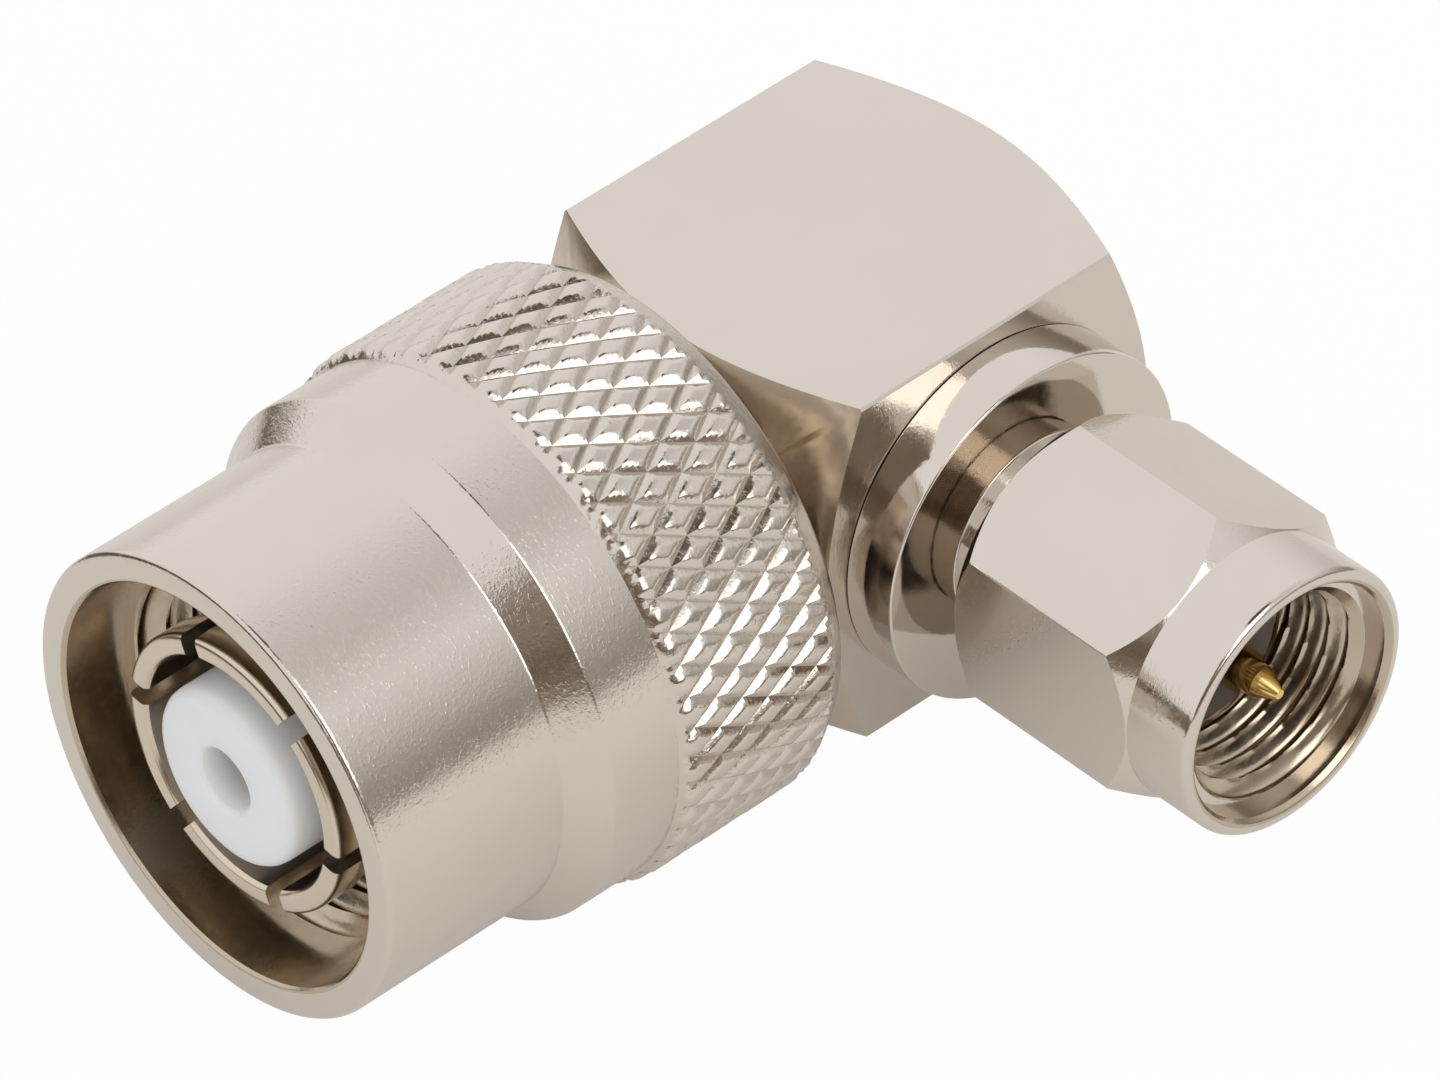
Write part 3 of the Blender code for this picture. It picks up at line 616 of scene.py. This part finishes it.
cap_back, cap_front, cap_radius = reach("end_cap", tnc_seat)
cap_rings = plain_rings(softened([
    (cap_front, 0, 0),
    (cap_front, cap_radius, CAP_ROUND),
    (cap_back, cap_radius, CAP_ROUND),
    (cap_back, 0, 0),
]), even(CAP_SIDES))
cap = turned("end_cap_turned", cap_rings, tnc_seat, closed=False)
seated(cap, "adapter_body", "end_cap")

# %% [markdown]
# ## Fingers that spring
#
# The outer contact is a thin sleeve that was slit six times, so that its fingers can spring.
# The slits could be left open in the rings, but those would be wedges. A slitting saw leaves
# parallel sides, so three long boxes through the axis cut all six, two at a time.

# %% Spring fingers
FINGER_RADIUS = 4.12
FINGER_BORE = 3.46
FINGER_LENGTH = 7.0
BEAD_LENGTH = 1.1
BEAD_HEIGHT = 0.12
CONTACT_TAIL_RADIUS = 3.75
CONTACT_TAIL_BORE = 3.26
SLOT_WIDTH = 0.62
SLOT_DEG = 52
TIP_LEAD = 0.14
TIP_FLARE = 0.09
FINGER_SIDES = 240
SLIT_PAIRS = 3

contact_tail, finger_tip, _ = reach("tnc_outer_contact", tnc_seat)
finger_root = finger_tip - FINGER_LENGTH
contact_shoulder = reach("tnc_gasket", tnc_seat)[1] + GAP
contact_rings = plain_rings(softened([
    (finger_tip - TIP_LEAD, FINGER_BORE, 0),
    (finger_tip, FINGER_BORE + TIP_FLARE, 0.10),
    (finger_tip, FINGER_RADIUS, 0.22),
    (finger_tip - BEAD_LENGTH, FINGER_RADIUS, 0.08),
    (finger_tip - BEAD_LENGTH - BEAD_HEIGHT, FINGER_RADIUS - BEAD_HEIGHT, 0.06),
    (contact_shoulder, FINGER_RADIUS - BEAD_HEIGHT, 0.03),
    (contact_shoulder, CONTACT_TAIL_RADIUS, 0),
    (contact_tail, CONTACT_TAIL_RADIUS, 0.04),
    (contact_tail, CONTACT_TAIL_BORE, 0),
    (finger_root - GAP, CONTACT_TAIL_BORE, 0),
    (finger_root, FINGER_BORE, 0),
]), even(FINGER_SIDES))
contact = turned("tnc_spring_fingers", contact_rings, tnc_seat)


def slitting_saw(angle_deg):
    """A long box through the axis, as wide as a slit, from the fingers' root to past their tips."""
    half = Vector((FINGER_RADIUS + CUT_PAST, SLOT_WIDTH / 2, (FINGER_LENGTH + CUT_PAST) / 2))
    mesh = bpy.data.meshes.new("saw")
    form = bmesh.new()
    bmesh.ops.create_cube(form, size=2)
    bmesh.ops.scale(form, vec=half * MM, verts=form.verts)
    form.to_mesh(mesh)
    form.free()
    saw = bpy.data.objects.new("saw", mesh)
    bpy.context.scene.collection.objects.link(saw)
    height = Matrix.Translation((0, 0, (finger_root + half.z) * MM))
    saw.matrix_world = tnc_seat @ Matrix.Rotation(math.radians(angle_deg), 4, "Z") @ height
    return saw


for pair in range(SLIT_PAIRS):
    cut(contact, slitting_saw(SLOT_DEG + 180 * pair / SLIT_PAIRS))
seated(contact, "adapter_body", "tnc_outer_contact")

# %% [markdown]
# ## The white core
#
# The core of the large plug is turned from soft fluoropolymer: its edges are round, and a
# shallow countersink leads the other connector's pin into the hole. Behind the hole sits a
# socket, so the bore is wider there. A Bevel modifier would round all edges alike, but in an
# outline each corner has a softness of its own.

# %% White core
CORE_RADIUS = 2.65
CORE_BASE_RADIUS = 3.21
CORE_ROUND = 0.42
SOCKET_BORE = 1.15
PIN_HOLE = 0.95
ENTRY_RADIUS = 1.05
ENTRY_DEPTH = 0.1
CORE_SIDES = 192

core_back, core_front, _ = reach("tnc_insulator", tnc_seat)
socket_front = reach("tnc_center_socket", tnc_seat)[1]
core_shoulder = finger_root - 2 * GAP
core_rings = plain_rings(softened([
    (core_front - ENTRY_DEPTH, PIN_HOLE, 0),
    (core_front, ENTRY_RADIUS, 0.06),
    (core_front, CORE_RADIUS, CORE_ROUND),
    (core_shoulder, CORE_RADIUS, 0.04),
    (core_shoulder, CORE_BASE_RADIUS, 0.04),
    (core_back, CORE_BASE_RADIUS, 0.04),
    (core_back, SOCKET_BORE, 0),
    (socket_front + GAP, SOCKET_BORE, 0),
    (socket_front + GAP, PIN_HOLE, 0),
]), even(CORE_SIDES))
core = turned("tnc_white_core", core_rings, tnc_seat)
seated(core, "adapter_body", "tnc_insulator")

# %% [markdown]
# ## The gold pin of the small plug
#
# The centre pin is brass with gold plate: a straight shank, then a cone with a tiny flat, so
# that it finds its way into the mating socket. A cylinder and a cone laid together would leave
# a seam. It is one outline spun about the axis, thicker where its insulator holds it.

# %% Centre pin
PIN_RADIUS = 0.465
PIN_CONE = 0.68
PIN_TIP_RADIUS = 0.14
SHANK_RADIUS = 0.635
PIN_TAIL_RADIUS = 0.45
SHANK_BACK = 1.15
PIN_SIDES = 96

pin_tail, pin_tip, _ = reach("sma_center_pin", sma_seat)
pin_rings = plain_rings(softened([
    (pin_tip, 0, 0),
    (pin_tip, PIN_TIP_RADIUS, 0.03),
    (pin_tip - PIN_CONE, PIN_RADIUS, 0.02),
    (reference_plane, PIN_RADIUS, 0),
    (reference_plane, SHANK_RADIUS, 0),
    (SHANK_BACK, SHANK_RADIUS, 0),
    (SHANK_BACK, PIN_TAIL_RADIUS, 0),
    (pin_tail, PIN_TAIL_RADIUS, 0.04),
    (pin_tail, 0, 0),
]), even(PIN_SIDES))
pin = turned("sma_gold_pin", pin_rings, sma_seat, closed=False)
seated(pin, "adapter_body", "sma_center_pin")

# %% [markdown]
# ## What holds the pin
#
# A short white tube holds the pin. A longer one would end flush with the sleeve and shine white
# round the pin. This one ends well behind it, so that mostly the sleeve's metal is seen there.

# %% The pin's insulator
SMA_CORE_RECESS = 3.0
SMA_CORE_HOLE = 0.685
SMA_CORE_SIDES = 128

small_back, small_front, small_radius = reach("sma_insulator", sma_seat)
small_rings = plain_rings(softened([
    (small_front - SMA_CORE_RECESS, SMA_CORE_HOLE, 0),
    (small_front - SMA_CORE_RECESS, small_radius, 0.05),
    (small_back, small_radius, 0.05),
    (small_back, SMA_CORE_HOLE, 0),
]), even(SMA_CORE_SIDES))
small_core = turned("sma_white_core", small_rings, sma_seat)
seated(small_core, "adapter_body", "sma_insulator")

# %% [markdown]
# ## Finishes made of patterns
#
# Each finish is one Principled shader with noise on its colour, its roughness and its relief. An
# image would have to be painted and wrapped round every piece. Noise read in the piece's own
# space needs no wrapping and moves along with the piece. A few helpers keep the recipes short.

# %% Node helpers
def start_material(name):
    """An empty node material with a Principled shader, and short ways to add and join nodes."""
    material = bpy.data.materials.new(name)
    material.use_nodes = True
    tree = material.node_tree
    shader = tree.nodes["Principled BSDF"]

    def add(kind, **values):
        node = tree.nodes.new(kind)
        for key, value in values.items():
            if hasattr(node, key):
                setattr(node, key, value)
            else:
                node.inputs[key.replace("_", " ").title()].default_value = value
        return node

    return material, tree, shader, add


def noise(tree, add, where, scale, detail=2.0, roughness=0.5):
    """A noise pattern, about scale bumps to a metre."""
    node = add("ShaderNodeTexNoise", Scale=scale, Detail=detail, Roughness=roughness)
    tree.links.new(where, node.inputs["Vector"])
    return node.outputs["Fac"]


def between(tree, add, share, low, high, start=0.3, end=0.7):
    """Turn a pattern, as it goes from start to end, into values from low to high."""
    node = add("ShaderNodeMapRange")
    node.inputs["From Min"].default_value = start
    node.inputs["From Max"].default_value = end
    node.inputs["To Min"].default_value = low
    node.inputs["To Max"].default_value = high
    tree.links.new(share, node.inputs["Value"])
    return node.outputs["Result"]


def blend_colours(tree, add, share, one, two):
    """Mix two colours by a pattern."""
    node = add("ShaderNodeMix", data_type="RGBA")
    tree.links.new(share, node.inputs["Factor"])
    node.inputs["A"].default_value = (*one, 1)
    node.inputs["B"].default_value = (*two, 1)
    return node.outputs["Result"]


def bumps(tree, add, heights, shader):
    """Stack several height patterns, each (pattern, height in metres), into one normal."""
    before = None
    for height, distance in heights:
        node = add("ShaderNodeBump")
        node.inputs["Distance"].default_value = distance
        tree.links.new(height, node.inputs["Height"])
        if before:
            tree.links.new(before, node.inputs["Normal"])
        before = node.outputs["Normal"]
    tree.links.new(before, shader.inputs["Normal"])


def lathe_place(tree, add, where):
    """A point's place along its lathe axis and its distance from it, as two coordinates."""
    split = add("ShaderNodeSeparateXYZ")
    tree.links.new(where, split.inputs["Vector"])
    flat = add("ShaderNodeCombineXYZ")
    tree.links.new(split.outputs["X"], flat.inputs["X"])
    tree.links.new(split.outputs["Y"], flat.inputs["Y"])
    length = add("ShaderNodeVectorMath", operation="LENGTH")
    tree.links.new(flat.outputs["Vector"], length.inputs[0])
    pair = add("ShaderNodeCombineXYZ")
    tree.links.new(length.outputs["Value"], pair.inputs["X"])
    tree.links.new(split.outputs["Z"], pair.inputs["Y"])
    return pair.outputs["Vector"]


# %% [markdown]
# ## Nickel that has been turned, tumbled and plated
#
# Nickel plate takes its colour from what it mirrors, so the finish is nearly all roughness and
# relief. Its relief has three layers: faint rings left by the lathe, a fine grain, and shallow
# flecks drawn out round the axis. Its roughness is mottled, and its tone changes slowly where it
# has been handled. The rings come from noise read by distance from the axis and place along it,
# so they circle it exactly. The bores are duller, and painted shade makes them darker and browner.

# %% Plated metals
TONE_SCALE = 260
MOTTLE_SCALE = 2600
GRAIN_SCALE = 9000
FLECK_SCALE = 6000
FLECK_START = 0.53
FLECK_END = 0.70
RING_SCALE = 16000
ROUND_THE_AXIS = 1.7


def plated(name, light, dark, smooth, rough, grain, flecks, rings):
    """Plated metal: two tones, a range of roughness, and the heights of its three reliefs."""
    material, tree, shader, add = start_material(name)
    where = add("ShaderNodeTexCoord").outputs["Object"]
    squeeze = add("ShaderNodeVectorMath", operation="MULTIPLY")
    squeeze.inputs[1].default_value = (1, 1, ROUND_THE_AXIS)
    tree.links.new(where, squeeze.inputs[0])
    slow = noise(tree, add, where, TONE_SCALE, 3)
    fine = noise(tree, add, where, GRAIN_SCALE, 3, 0.6)
    mottle = noise(tree, add, where, MOTTLE_SCALE, 4, 0.6)
    spots = noise(tree, add, squeeze.outputs[0], FLECK_SCALE, 3)
    sparse = between(tree, add, spots, 0, 1, FLECK_START, FLECK_END)
    lines = noise(tree, add, lathe_place(tree, add, where), RING_SCALE, 2)
    tree.links.new(blend_colours(tree, add, slow, dark, light), shader.inputs["Base Color"])
    tree.links.new(between(tree, add, mottle, smooth, rough), shader.inputs["Roughness"])
    bumps(tree, add, [(fine, grain), (sparse, flecks), (lines, rings)], shader)
    shader.inputs["Metallic"].default_value = 1
    return material


NICKEL_LIGHT = (0.69, 0.635, 0.575)
NICKEL_DARK = (0.65, 0.595, 0.53)
# The bore colours are darker and browner than the nickel: painted shade for the inside of the
# bores.
BORE_PAINTED_SHADE_LIGHT = (0.56, 0.48, 0.38)
BORE_PAINTED_SHADE_DARK = (0.50, 0.42, 0.32)
# The faced colours are browner than the nickel. On the body's turned cones that brown is a painted
# reflection, the tan of the nut's back mirrored in the front cone; the spring fingers wear the same
# faced nickel.
FACED_AND_REFLECTION_LIGHT = (0.69, 0.61, 0.51)
FACED_AND_REFLECTION_DARK = (0.64, 0.56, 0.46)
BRONZE_LIGHT = (0.60, 0.45, 0.30)
BRONZE_DARK = (0.50, 0.38, 0.25)
GOLD_LIGHT = (0.88, 0.63, 0.24)
GOLD_DARK = (0.78, 0.53, 0.17)
satin = plated("satin_nickel", NICKEL_LIGHT, NICKEL_DARK, 0.12, 0.21, 4.5e-6, 3e-6, 5e-7)
bright = plated("bright_nickel", NICKEL_LIGHT, NICKEL_DARK, 0.05, 0.11, 8e-7, 6e-7, 3e-7)
milled = plated("milled_nickel", NICKEL_LIGHT, NICKEL_DARK, 0.09, 0.16, 1e-6, 1.5e-6, 2e-7)
bore_painted_shade = plated("bore_nickel_painted_shade", BORE_PAINTED_SHADE_LIGHT, BORE_PAINTED_SHADE_DARK, 0.15, 0.25, 2e-6, 1e-6, 3e-7)
faced_and_painted_reflection = plated("faced_nickel_and_painted_reflection", FACED_AND_REFLECTION_LIGHT, FACED_AND_REFLECTION_DARK, 0.17, 0.25, 5e-7, 2e-7, 2e-7)
bronze = plated("spring_bronze_bare", BRONZE_LIGHT, BRONZE_DARK, 0.25, 0.4, 2e-6, 1e-6, 4e-7)
gold = plated("gold_over_brass", GOLD_LIGHT, GOLD_DARK, 0.08, 0.16, 6e-7, 3e-7, 6e-7)
print("plated metals:", satin.name, bright.name, milled.name, bore_painted_shade.name, faced_and_painted_reflection.name)

# %% [markdown]
# ## White fluoropolymer and red rubber
#
# Fluoropolymer is waxy: light goes a little way in and comes out softer, so its hole looks
# lit from within. A plain white would look like chalk. Subsurface scattering gives the waxy
# look, and a faint mottle and lathe rings break it up. The sealing rings are moulded rubber.

# %% Soft materials
WAX_RADIUS = (1.0, 0.85, 0.7)
WAX_SCALE = 0.0022
WAX_TONE_SCALE = 900
WAX_GRAIN_SCALE = 7000
WAX_RING_SCALE = 9000
ROUGHNESS_SPREAD = 0.06


def waxy(name, light, dark, depth, roughness, grain):
    """A material that light goes into: plastic or rubber."""
    material, tree, shader, add = start_material(name)
    where = add("ShaderNodeTexCoord").outputs["Object"]
    slow = noise(tree, add, where, WAX_TONE_SCALE, 3)
    fine = noise(tree, add, where, WAX_GRAIN_SCALE, 3)
    lines = noise(tree, add, lathe_place(tree, add, where), WAX_RING_SCALE, 2)
    low = roughness - ROUGHNESS_SPREAD
    high = roughness + ROUGHNESS_SPREAD
    tree.links.new(blend_colours(tree, add, slow, dark, light), shader.inputs["Base Color"])
    tree.links.new(between(tree, add, fine, low, high), shader.inputs["Roughness"])
    bumps(tree, add, [(fine, grain), (lines, grain)], shader)
    shader.inputs["Subsurface Weight"].default_value = depth
    shader.inputs["Subsurface Radius"].default_value = WAX_RADIUS
    shader.inputs["Subsurface Scale"].default_value = WAX_SCALE
    return material


white = waxy("turned_fluoropolymer", (0.865, 0.89, 0.925), (0.83, 0.86, 0.90), 0.9, 0.42, 1e-6)
rubber = waxy("moulded_rubber", (0.58, 0.17, 0.10), (0.48, 0.13, 0.08), 0.05, 0.62, 2e-6)
print("soft materials:", white.name, rubber.name)

# %% [markdown]
# ## Every piece gets its finish
#
# The knurled nut is satin, the hexagon and the square bar are milled, and the flange is bright.
# A loop over one list hands out the finishes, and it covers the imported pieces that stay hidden.

# %% Give every piece its finish
finishes = {
    "tnc_nut_knurled": satin,
    "sma_nut_hexagon": milled,
    "body_square": milled,
    "end_cap_turned": satin,
    "sma_flange_turned": bright,
    "tnc_spring_fingers": faced_and_painted_reflection,
    "tnc_white_core": white,
    "sma_gold_pin": gold,
    "tnc_neck_sleeve": bright,
    "tnc_center_socket": gold,
    "tnc_gasket": rubber,
    "tnc_snap_ring": bronze,
    "sma_white_core": white,
    "sma_gasket": rubber,
    "sma_snap_ring": bronze,
}
for name, material in finishes.items():
    slots = bpy.data.objects[name].material_slots
    if slots:
        for place in slots:
            place.material = material
    else:
        bpy.data.objects[name].data.materials.append(material)
print(len(finishes), "pieces finished")

# %% [markdown]
# ## A second finish inside
#
# Inside the nuts' bores the colour is painted darker and browner for the shade there, and on the
# turned cones of the body it is painted browner as a reflection of the nut's back; both are duller
# too. Cutting the pieces apart there would be untrue, so the faces themselves choose: those that
# look at their own axis are in a bore, and those that lean between along and across are on a cone.

# %% Finishes chosen by face
LOOKS_INWARD = -0.1
CONE_LEAST = 0.6
CONE_MOST = 0.99


def refinished(piece, material, chosen):
    """Give a second finish to the faces that a test on their normal and middle picks."""
    piece.data.materials.append(material)
    count = 0
    for face in piece.data.polygons:
        if chosen(face.normal, face.center):
            face.material_index = 1
            count += 1
    print(piece.name, count, "faces in", material.name)


def faces_the_axis(normal, middle):
    """True inside a bore, where the surface looks at its own axis."""
    return normal.xy.dot(middle.xy) < LOOKS_INWARD * middle.xy.length


def turned_corner(normal, middle):
    """True on the turned cones at the two ends of the square bar."""
    return CONE_LEAST < abs(normal.z) < CONE_MOST


# The faces inside the nuts' bores get the painted shade colour.
refinished(tnc_nut, bore_painted_shade, faces_the_axis)
refinished(sma_nut, bore_painted_shade, faces_the_axis)
# The body's turned cones get the browner colour, a painted reflection.
refinished(block, faced_and_painted_reflection, turned_corner)

# %% [markdown]
# ## A white floor that keeps its shadow
#
# The adapter stands on white paper in a white tent. Plain paper would come out grey, and more
# light on it would wash out the metal too. So the paper is nearly all glow for rays from the
# camera, and a little for mirrored ones. What is left of it is a true surface with a shadow.

# %% Floor
def light_share(tree, add, kinds):
    """1 for a ray of any of these kinds, otherwise 0."""
    path = add("ShaderNodeLightPath")
    total = None
    for kind in kinds:
        if total is None:
            total = path.outputs[kind]
            continue
        both = add("ShaderNodeMath", operation="MAXIMUM")
        tree.links.new(total, both.inputs[0])
        tree.links.new(path.outputs[kind], both.inputs[1])
        total = both.outputs[0]
    return total


def scaled(tree, add, value, factor):
    """A value times a number."""
    node = add("ShaderNodeMath", operation="MULTIPLY")
    tree.links.new(value, node.inputs[0])
    node.inputs[1].default_value = factor
    return node.outputs[0]


LOOKED_THROUGH = ("Is Camera Ray", "Is Transmission Ray")
MIRRORED = ("Is Glossy Ray",)
FLOOR_SEEN_GLOW = 0.97
FLOOR_MIRRORED_GLOW = 0.12
FLOOR_SIZE = 3.0
PAPER = (0.86, 0.83, 0.79, 1)
PAPER_ROUGHNESS = 0.9
floor_mesh = bpy.data.meshes.new("floor")
half = FLOOR_SIZE / 2
floor_mesh.from_pydata([(-half, -half, 0), (half, -half, 0), (half, half, 0), (-half, half, 0)],
                       [], [(0, 1, 2, 3)])
floor = bpy.data.objects.new("floor", floor_mesh)
floor.location = (0, 0, cad_low.z)
bpy.context.scene.collection.objects.link(floor)

paper, tree, shader, add = start_material("white_paper")
shader.inputs["Base Color"].default_value = PAPER
shader.inputs["Roughness"].default_value = PAPER_ROUGHNESS
glow = add("ShaderNodeEmission")
mix = add("ShaderNodeMixShader")
both = add("ShaderNodeMath", operation="ADD")
seen = scaled(tree, add, light_share(tree, add, LOOKED_THROUGH), FLOOR_SEEN_GLOW)
mirrored = scaled(tree, add, light_share(tree, add, MIRRORED), FLOOR_MIRRORED_GLOW)
tree.links.new(seen, both.inputs[0])
tree.links.new(mirrored, both.inputs[1])
tree.links.new(both.outputs[0], mix.inputs["Fac"])
tree.links.new(shader.outputs["BSDF"], mix.inputs[1])
tree.links.new(glow.outputs["Emission"], mix.inputs[2])
tree.links.new(mix.outputs["Shader"], tree.nodes["Material Output"].inputs["Surface"])
floor_mesh.materials.append(paper)
print("floor at", cad_low.z)

# %% [markdown]
# ## The tent
#
# Polished metal shows the room, so the room matters as much as the finish. A plain white world
# would leave the adapter flat. The wall to the right of the camera is darkest by the table,
# clears on the way up and dims again near the top. Only mirrors see that, so the light stays
# even. The shade is set by a few stops over the height and fades out toward the sides.

# %% World
TENT_FILL = 0.82
world = bpy.data.worlds.new("tent")
world.use_nodes = True
tree = world.node_tree


def add_world(kind, **values):
    node = tree.nodes.new(kind)
    for key, value in values.items():
        setattr(node, key, value)
    return node


def ramp(tree, add, value, stops):
    """A value turned into another one through a few stops, each (value, result)."""
    for index, (low, high) in enumerate(zip(stops, stops[1:])):
        node = add("ShaderNodeMapRange")
        node.inputs["From Min"].default_value = low[0]
        node.inputs["From Max"].default_value = high[0]
        node.inputs["To Min"].default_value = low[1] if index == 0 else 0
        node.inputs["To Max"].default_value = high[1] if index == 0 else high[1] - low[1]
        tree.links.new(value, node.inputs["Value"])
        if index == 0:
            total = node.outputs["Result"]
            continue
        both = add("ShaderNodeMath", operation="ADD")
        tree.links.new(total, both.inputs[0])
        tree.links.new(node.outputs["Result"], both.inputs[1])
        total = both.outputs[0]
    return total


WALL_WHITE = (1, 1, 1, 1)
WALL_SHADOW = (0.12, 0.08, 0.03, 1)
WALL_AZIMUTH = math.radians(40)
WALL_SHADE = [(0.0, 0.76), (0.16, 0.72), (0.44, 0.34), (0.67, 0.06), (0.87, 0.38)]
WALL_SIDE = [(0.0, 0.0), (0.5, 1.0)]
direction = add_world("ShaderNodeTexCoord").outputs["Generated"]
height = add_world("ShaderNodeSeparateXYZ")
tree.links.new(direction, height.inputs["Vector"])
side = add_world("ShaderNodeVectorMath", operation="DOT_PRODUCT")
side.inputs[1].default_value = (math.cos(WALL_AZIMUTH), math.sin(WALL_AZIMUTH), 0)
tree.links.new(direction, side.inputs[0])
shade = add_world("ShaderNodeMath", operation="MULTIPLY")
tree.links.new(ramp(tree, add_world, height.outputs["Z"], WALL_SHADE), shade.inputs[0])
tree.links.new(ramp(tree, add_world, side.outputs["Value"], WALL_SIDE), shade.inputs[1])
mirrored_shade = add_world("ShaderNodeMath", operation="MULTIPLY")
tree.links.new(shade.outputs[0], mirrored_shade.inputs[0])
tree.links.new(light_share(tree, add_world, MIRRORED), mirrored_shade.inputs[1])
wall = add_world("ShaderNodeMix", data_type="RGBA")
wall.inputs["A"].default_value = WALL_WHITE
wall.inputs["B"].default_value = WALL_SHADOW
tree.links.new(mirrored_shade.outputs[0], wall.inputs["Factor"])
tree.links.new(wall.outputs["Result"], tree.nodes["Background"].inputs["Color"])

strength = add_world("ShaderNodeMapRange")
strength.inputs["To Min"].default_value = TENT_FILL
strength.inputs["To Max"].default_value = 1.0
tree.links.new(light_share(tree, add_world, LOOKED_THROUGH + MIRRORED), strength.inputs["Value"])
tree.links.new(strength.outputs["Result"], tree.nodes["Background"].inputs["Strength"])
bpy.context.scene.world = world
print("world:", world.name, "with", len(tree.nodes), "nodes")

# %% [markdown]
# ## The camera
#
# The camera was matched to the photograph: its direction, its roll, and a long lens from a third
# of a metre away. It could be aimed with a constraint, but its own three axes say it exactly.

# %% Camera
CAMERA_AZIMUTH = math.radians(48.2887)
CAMERA_ELEVATION = math.radians(41.1780)
CAMERA_ROLL = math.radians(-1.7021)
CAMERA_DISTANCE = 332.986 * MM
CAMERA_SIDEWAYS = -3.2321 * MM
CAMERA_UPWARDS = -3.8455 * MM
FOCAL_PIXELS = 12426.5
FRAME_PIXELS = 1440
SENSOR = 36

level = math.cos(CAMERA_ELEVATION)
backwards = Vector((math.sin(CAMERA_AZIMUTH) * level, -math.cos(CAMERA_AZIMUTH) * level,
                    math.sin(CAMERA_ELEVATION)))
sideways = Vector((math.cos(CAMERA_AZIMUTH), math.sin(CAMERA_AZIMUTH), 0))
roll = Matrix.Rotation(CAMERA_ROLL, 3, backwards)
sideways = roll @ sideways
upwards = backwards.cross(sideways)
lens = bpy.data.cameras.new("camera")
lens.sensor_width = SENSOR
lens.lens = FOCAL_PIXELS * SENSOR / FRAME_PIXELS
camera = bpy.data.objects.new("camera", lens)
facing = Matrix((sideways, upwards, backwards)).transposed().to_4x4()
eye = backwards * CAMERA_DISTANCE + sideways * CAMERA_SIDEWAYS + upwards * CAMERA_UPWARDS
camera.matrix_world = Matrix.Translation(eye + Vector((0, 0, axis_height))) @ facing
bpy.context.scene.collection.objects.link(camera)
bpy.context.scene.camera = camera
print("camera at", tuple(camera.matrix_world.translation))

# %% [markdown]
# ## One lamp and a few dark cards
#
# A broad lamp stands to the right of the camera, over the small plug. A photographer of bright
# metal then adds dark things for it to mirror. Here they are cards that only reflections see:
# a low strip, the camera's own shade, a card under the lamp, one before the large mouth, and
# one overhead. They draw the brown streaks that make the metal look like metal.

# %% Lamp and dark cards
def toward(azimuth_deg, rise_deg):
    """The direction at an angle round the adapter from +X, and at a height above the horizon."""
    azimuth = math.radians(azimuth_deg)
    rise = math.radians(rise_deg)
    level = math.cos(rise)
    return Vector((math.cos(azimuth) * level, math.sin(azimuth) * level, math.sin(rise)))


def soft_lamp(name, direction, distance, width, tall, power):
    """A broad area lamp that faces the adapter and doesn't show itself to the camera."""
    light = bpy.data.lights.new(name, "AREA")
    light.shape = "RECTANGLE"
    light.size = width
    light.size_y = tall
    light.energy = power
    lamp = bpy.data.objects.new(name, light)
    lamp.location = direction * distance
    lamp.rotation_euler = direction.to_track_quat("Z", "Y").to_euler()
    lamp.visible_camera = False
    bpy.context.scene.collection.objects.link(lamp)
    return lamp


CARD_STEP_DEG = 5
CARD_LEVEL_DEG = 0.1
CARD_ABOVE_FLOOR = 0.97


def dark_card(name, from_deg, to_deg, low_deg, high_deg, distance, colour):
    """A curved card that only reflections see, over a range of angles round and up.

    Where it reaches below the horizon it bends and lies on the floor.
    """
    steps = math.ceil((to_deg - from_deg) / CARD_STEP_DEG)
    points = []
    for step in range(steps + 1):
        azimuth = from_deg + (to_deg - from_deg) * step / steps
        for rise in (low_deg, (low_deg + high_deg) / 2, high_deg):
            fall = math.sin(math.radians(max(-rise, CARD_LEVEL_DEG)))
            away = min(distance, (axis_height - cad_low.z) * CARD_ABOVE_FLOOR / fall)
            points.append(toward(azimuth, rise) * away + Vector((0, 0, axis_height)))
    faces = []
    for step in range(steps):
        first = 3 * step
        faces += [(first + up, first + 3 + up, first + 4 + up, first + 1 + up) for up in (0, 1)]
    mesh = bpy.data.meshes.new(name)
    mesh.from_pydata(points, [], faces)
    card = bpy.data.objects.new(name, mesh)
    bpy.context.scene.collection.objects.link(card)
    card.visible_camera = False
    card.visible_diffuse = False
    card.visible_shadow = False
    material, tree, shader, add = start_material(name + "_cloth")
    shader.inputs["Base Color"].default_value = (*colour, 1)
    shader.inputs["Roughness"].default_value = 1
    mesh.materials.append(material)
    print("card:", name, len(faces), "faces")


soft_lamp("lamp_over_camera", toward(-8, 43), 0.45, 0.25, 0.42, 0.56)
CLOTH = (0.12, 0.085, 0.05)
BROWN_CARD = (0.19, 0.14, 0.10)
TAN_CARD = (0.34, 0.28, 0.23)
PALE_CARD = (0.55, 0.48, 0.40)
dark_card("low_dark_strip", -170, -75, -9.5, 1, 0.60, CLOTH)
dark_card("camera_side", -64, -30, 17, 46, 0.38, TAN_CARD)
dark_card("before_the_mouth", -152, -112, -62, -27, 0.60, PALE_CARD)
dark_card("under_the_lamp", -72, 9, -2, 17, 0.52, BROWN_CARD)
dark_card("overhead", 0, 360, 77, 90, 0.55, CLOTH)

# %% [markdown]
# ## The view transform
#
# The dressed model has to stay inside the imported one. The imported box was printed at the start,
# and each seated piece printed the size of the whole. The last line sets the Standard view
# transform.

bpy.context.scene.view_settings.view_transform = "Standard"
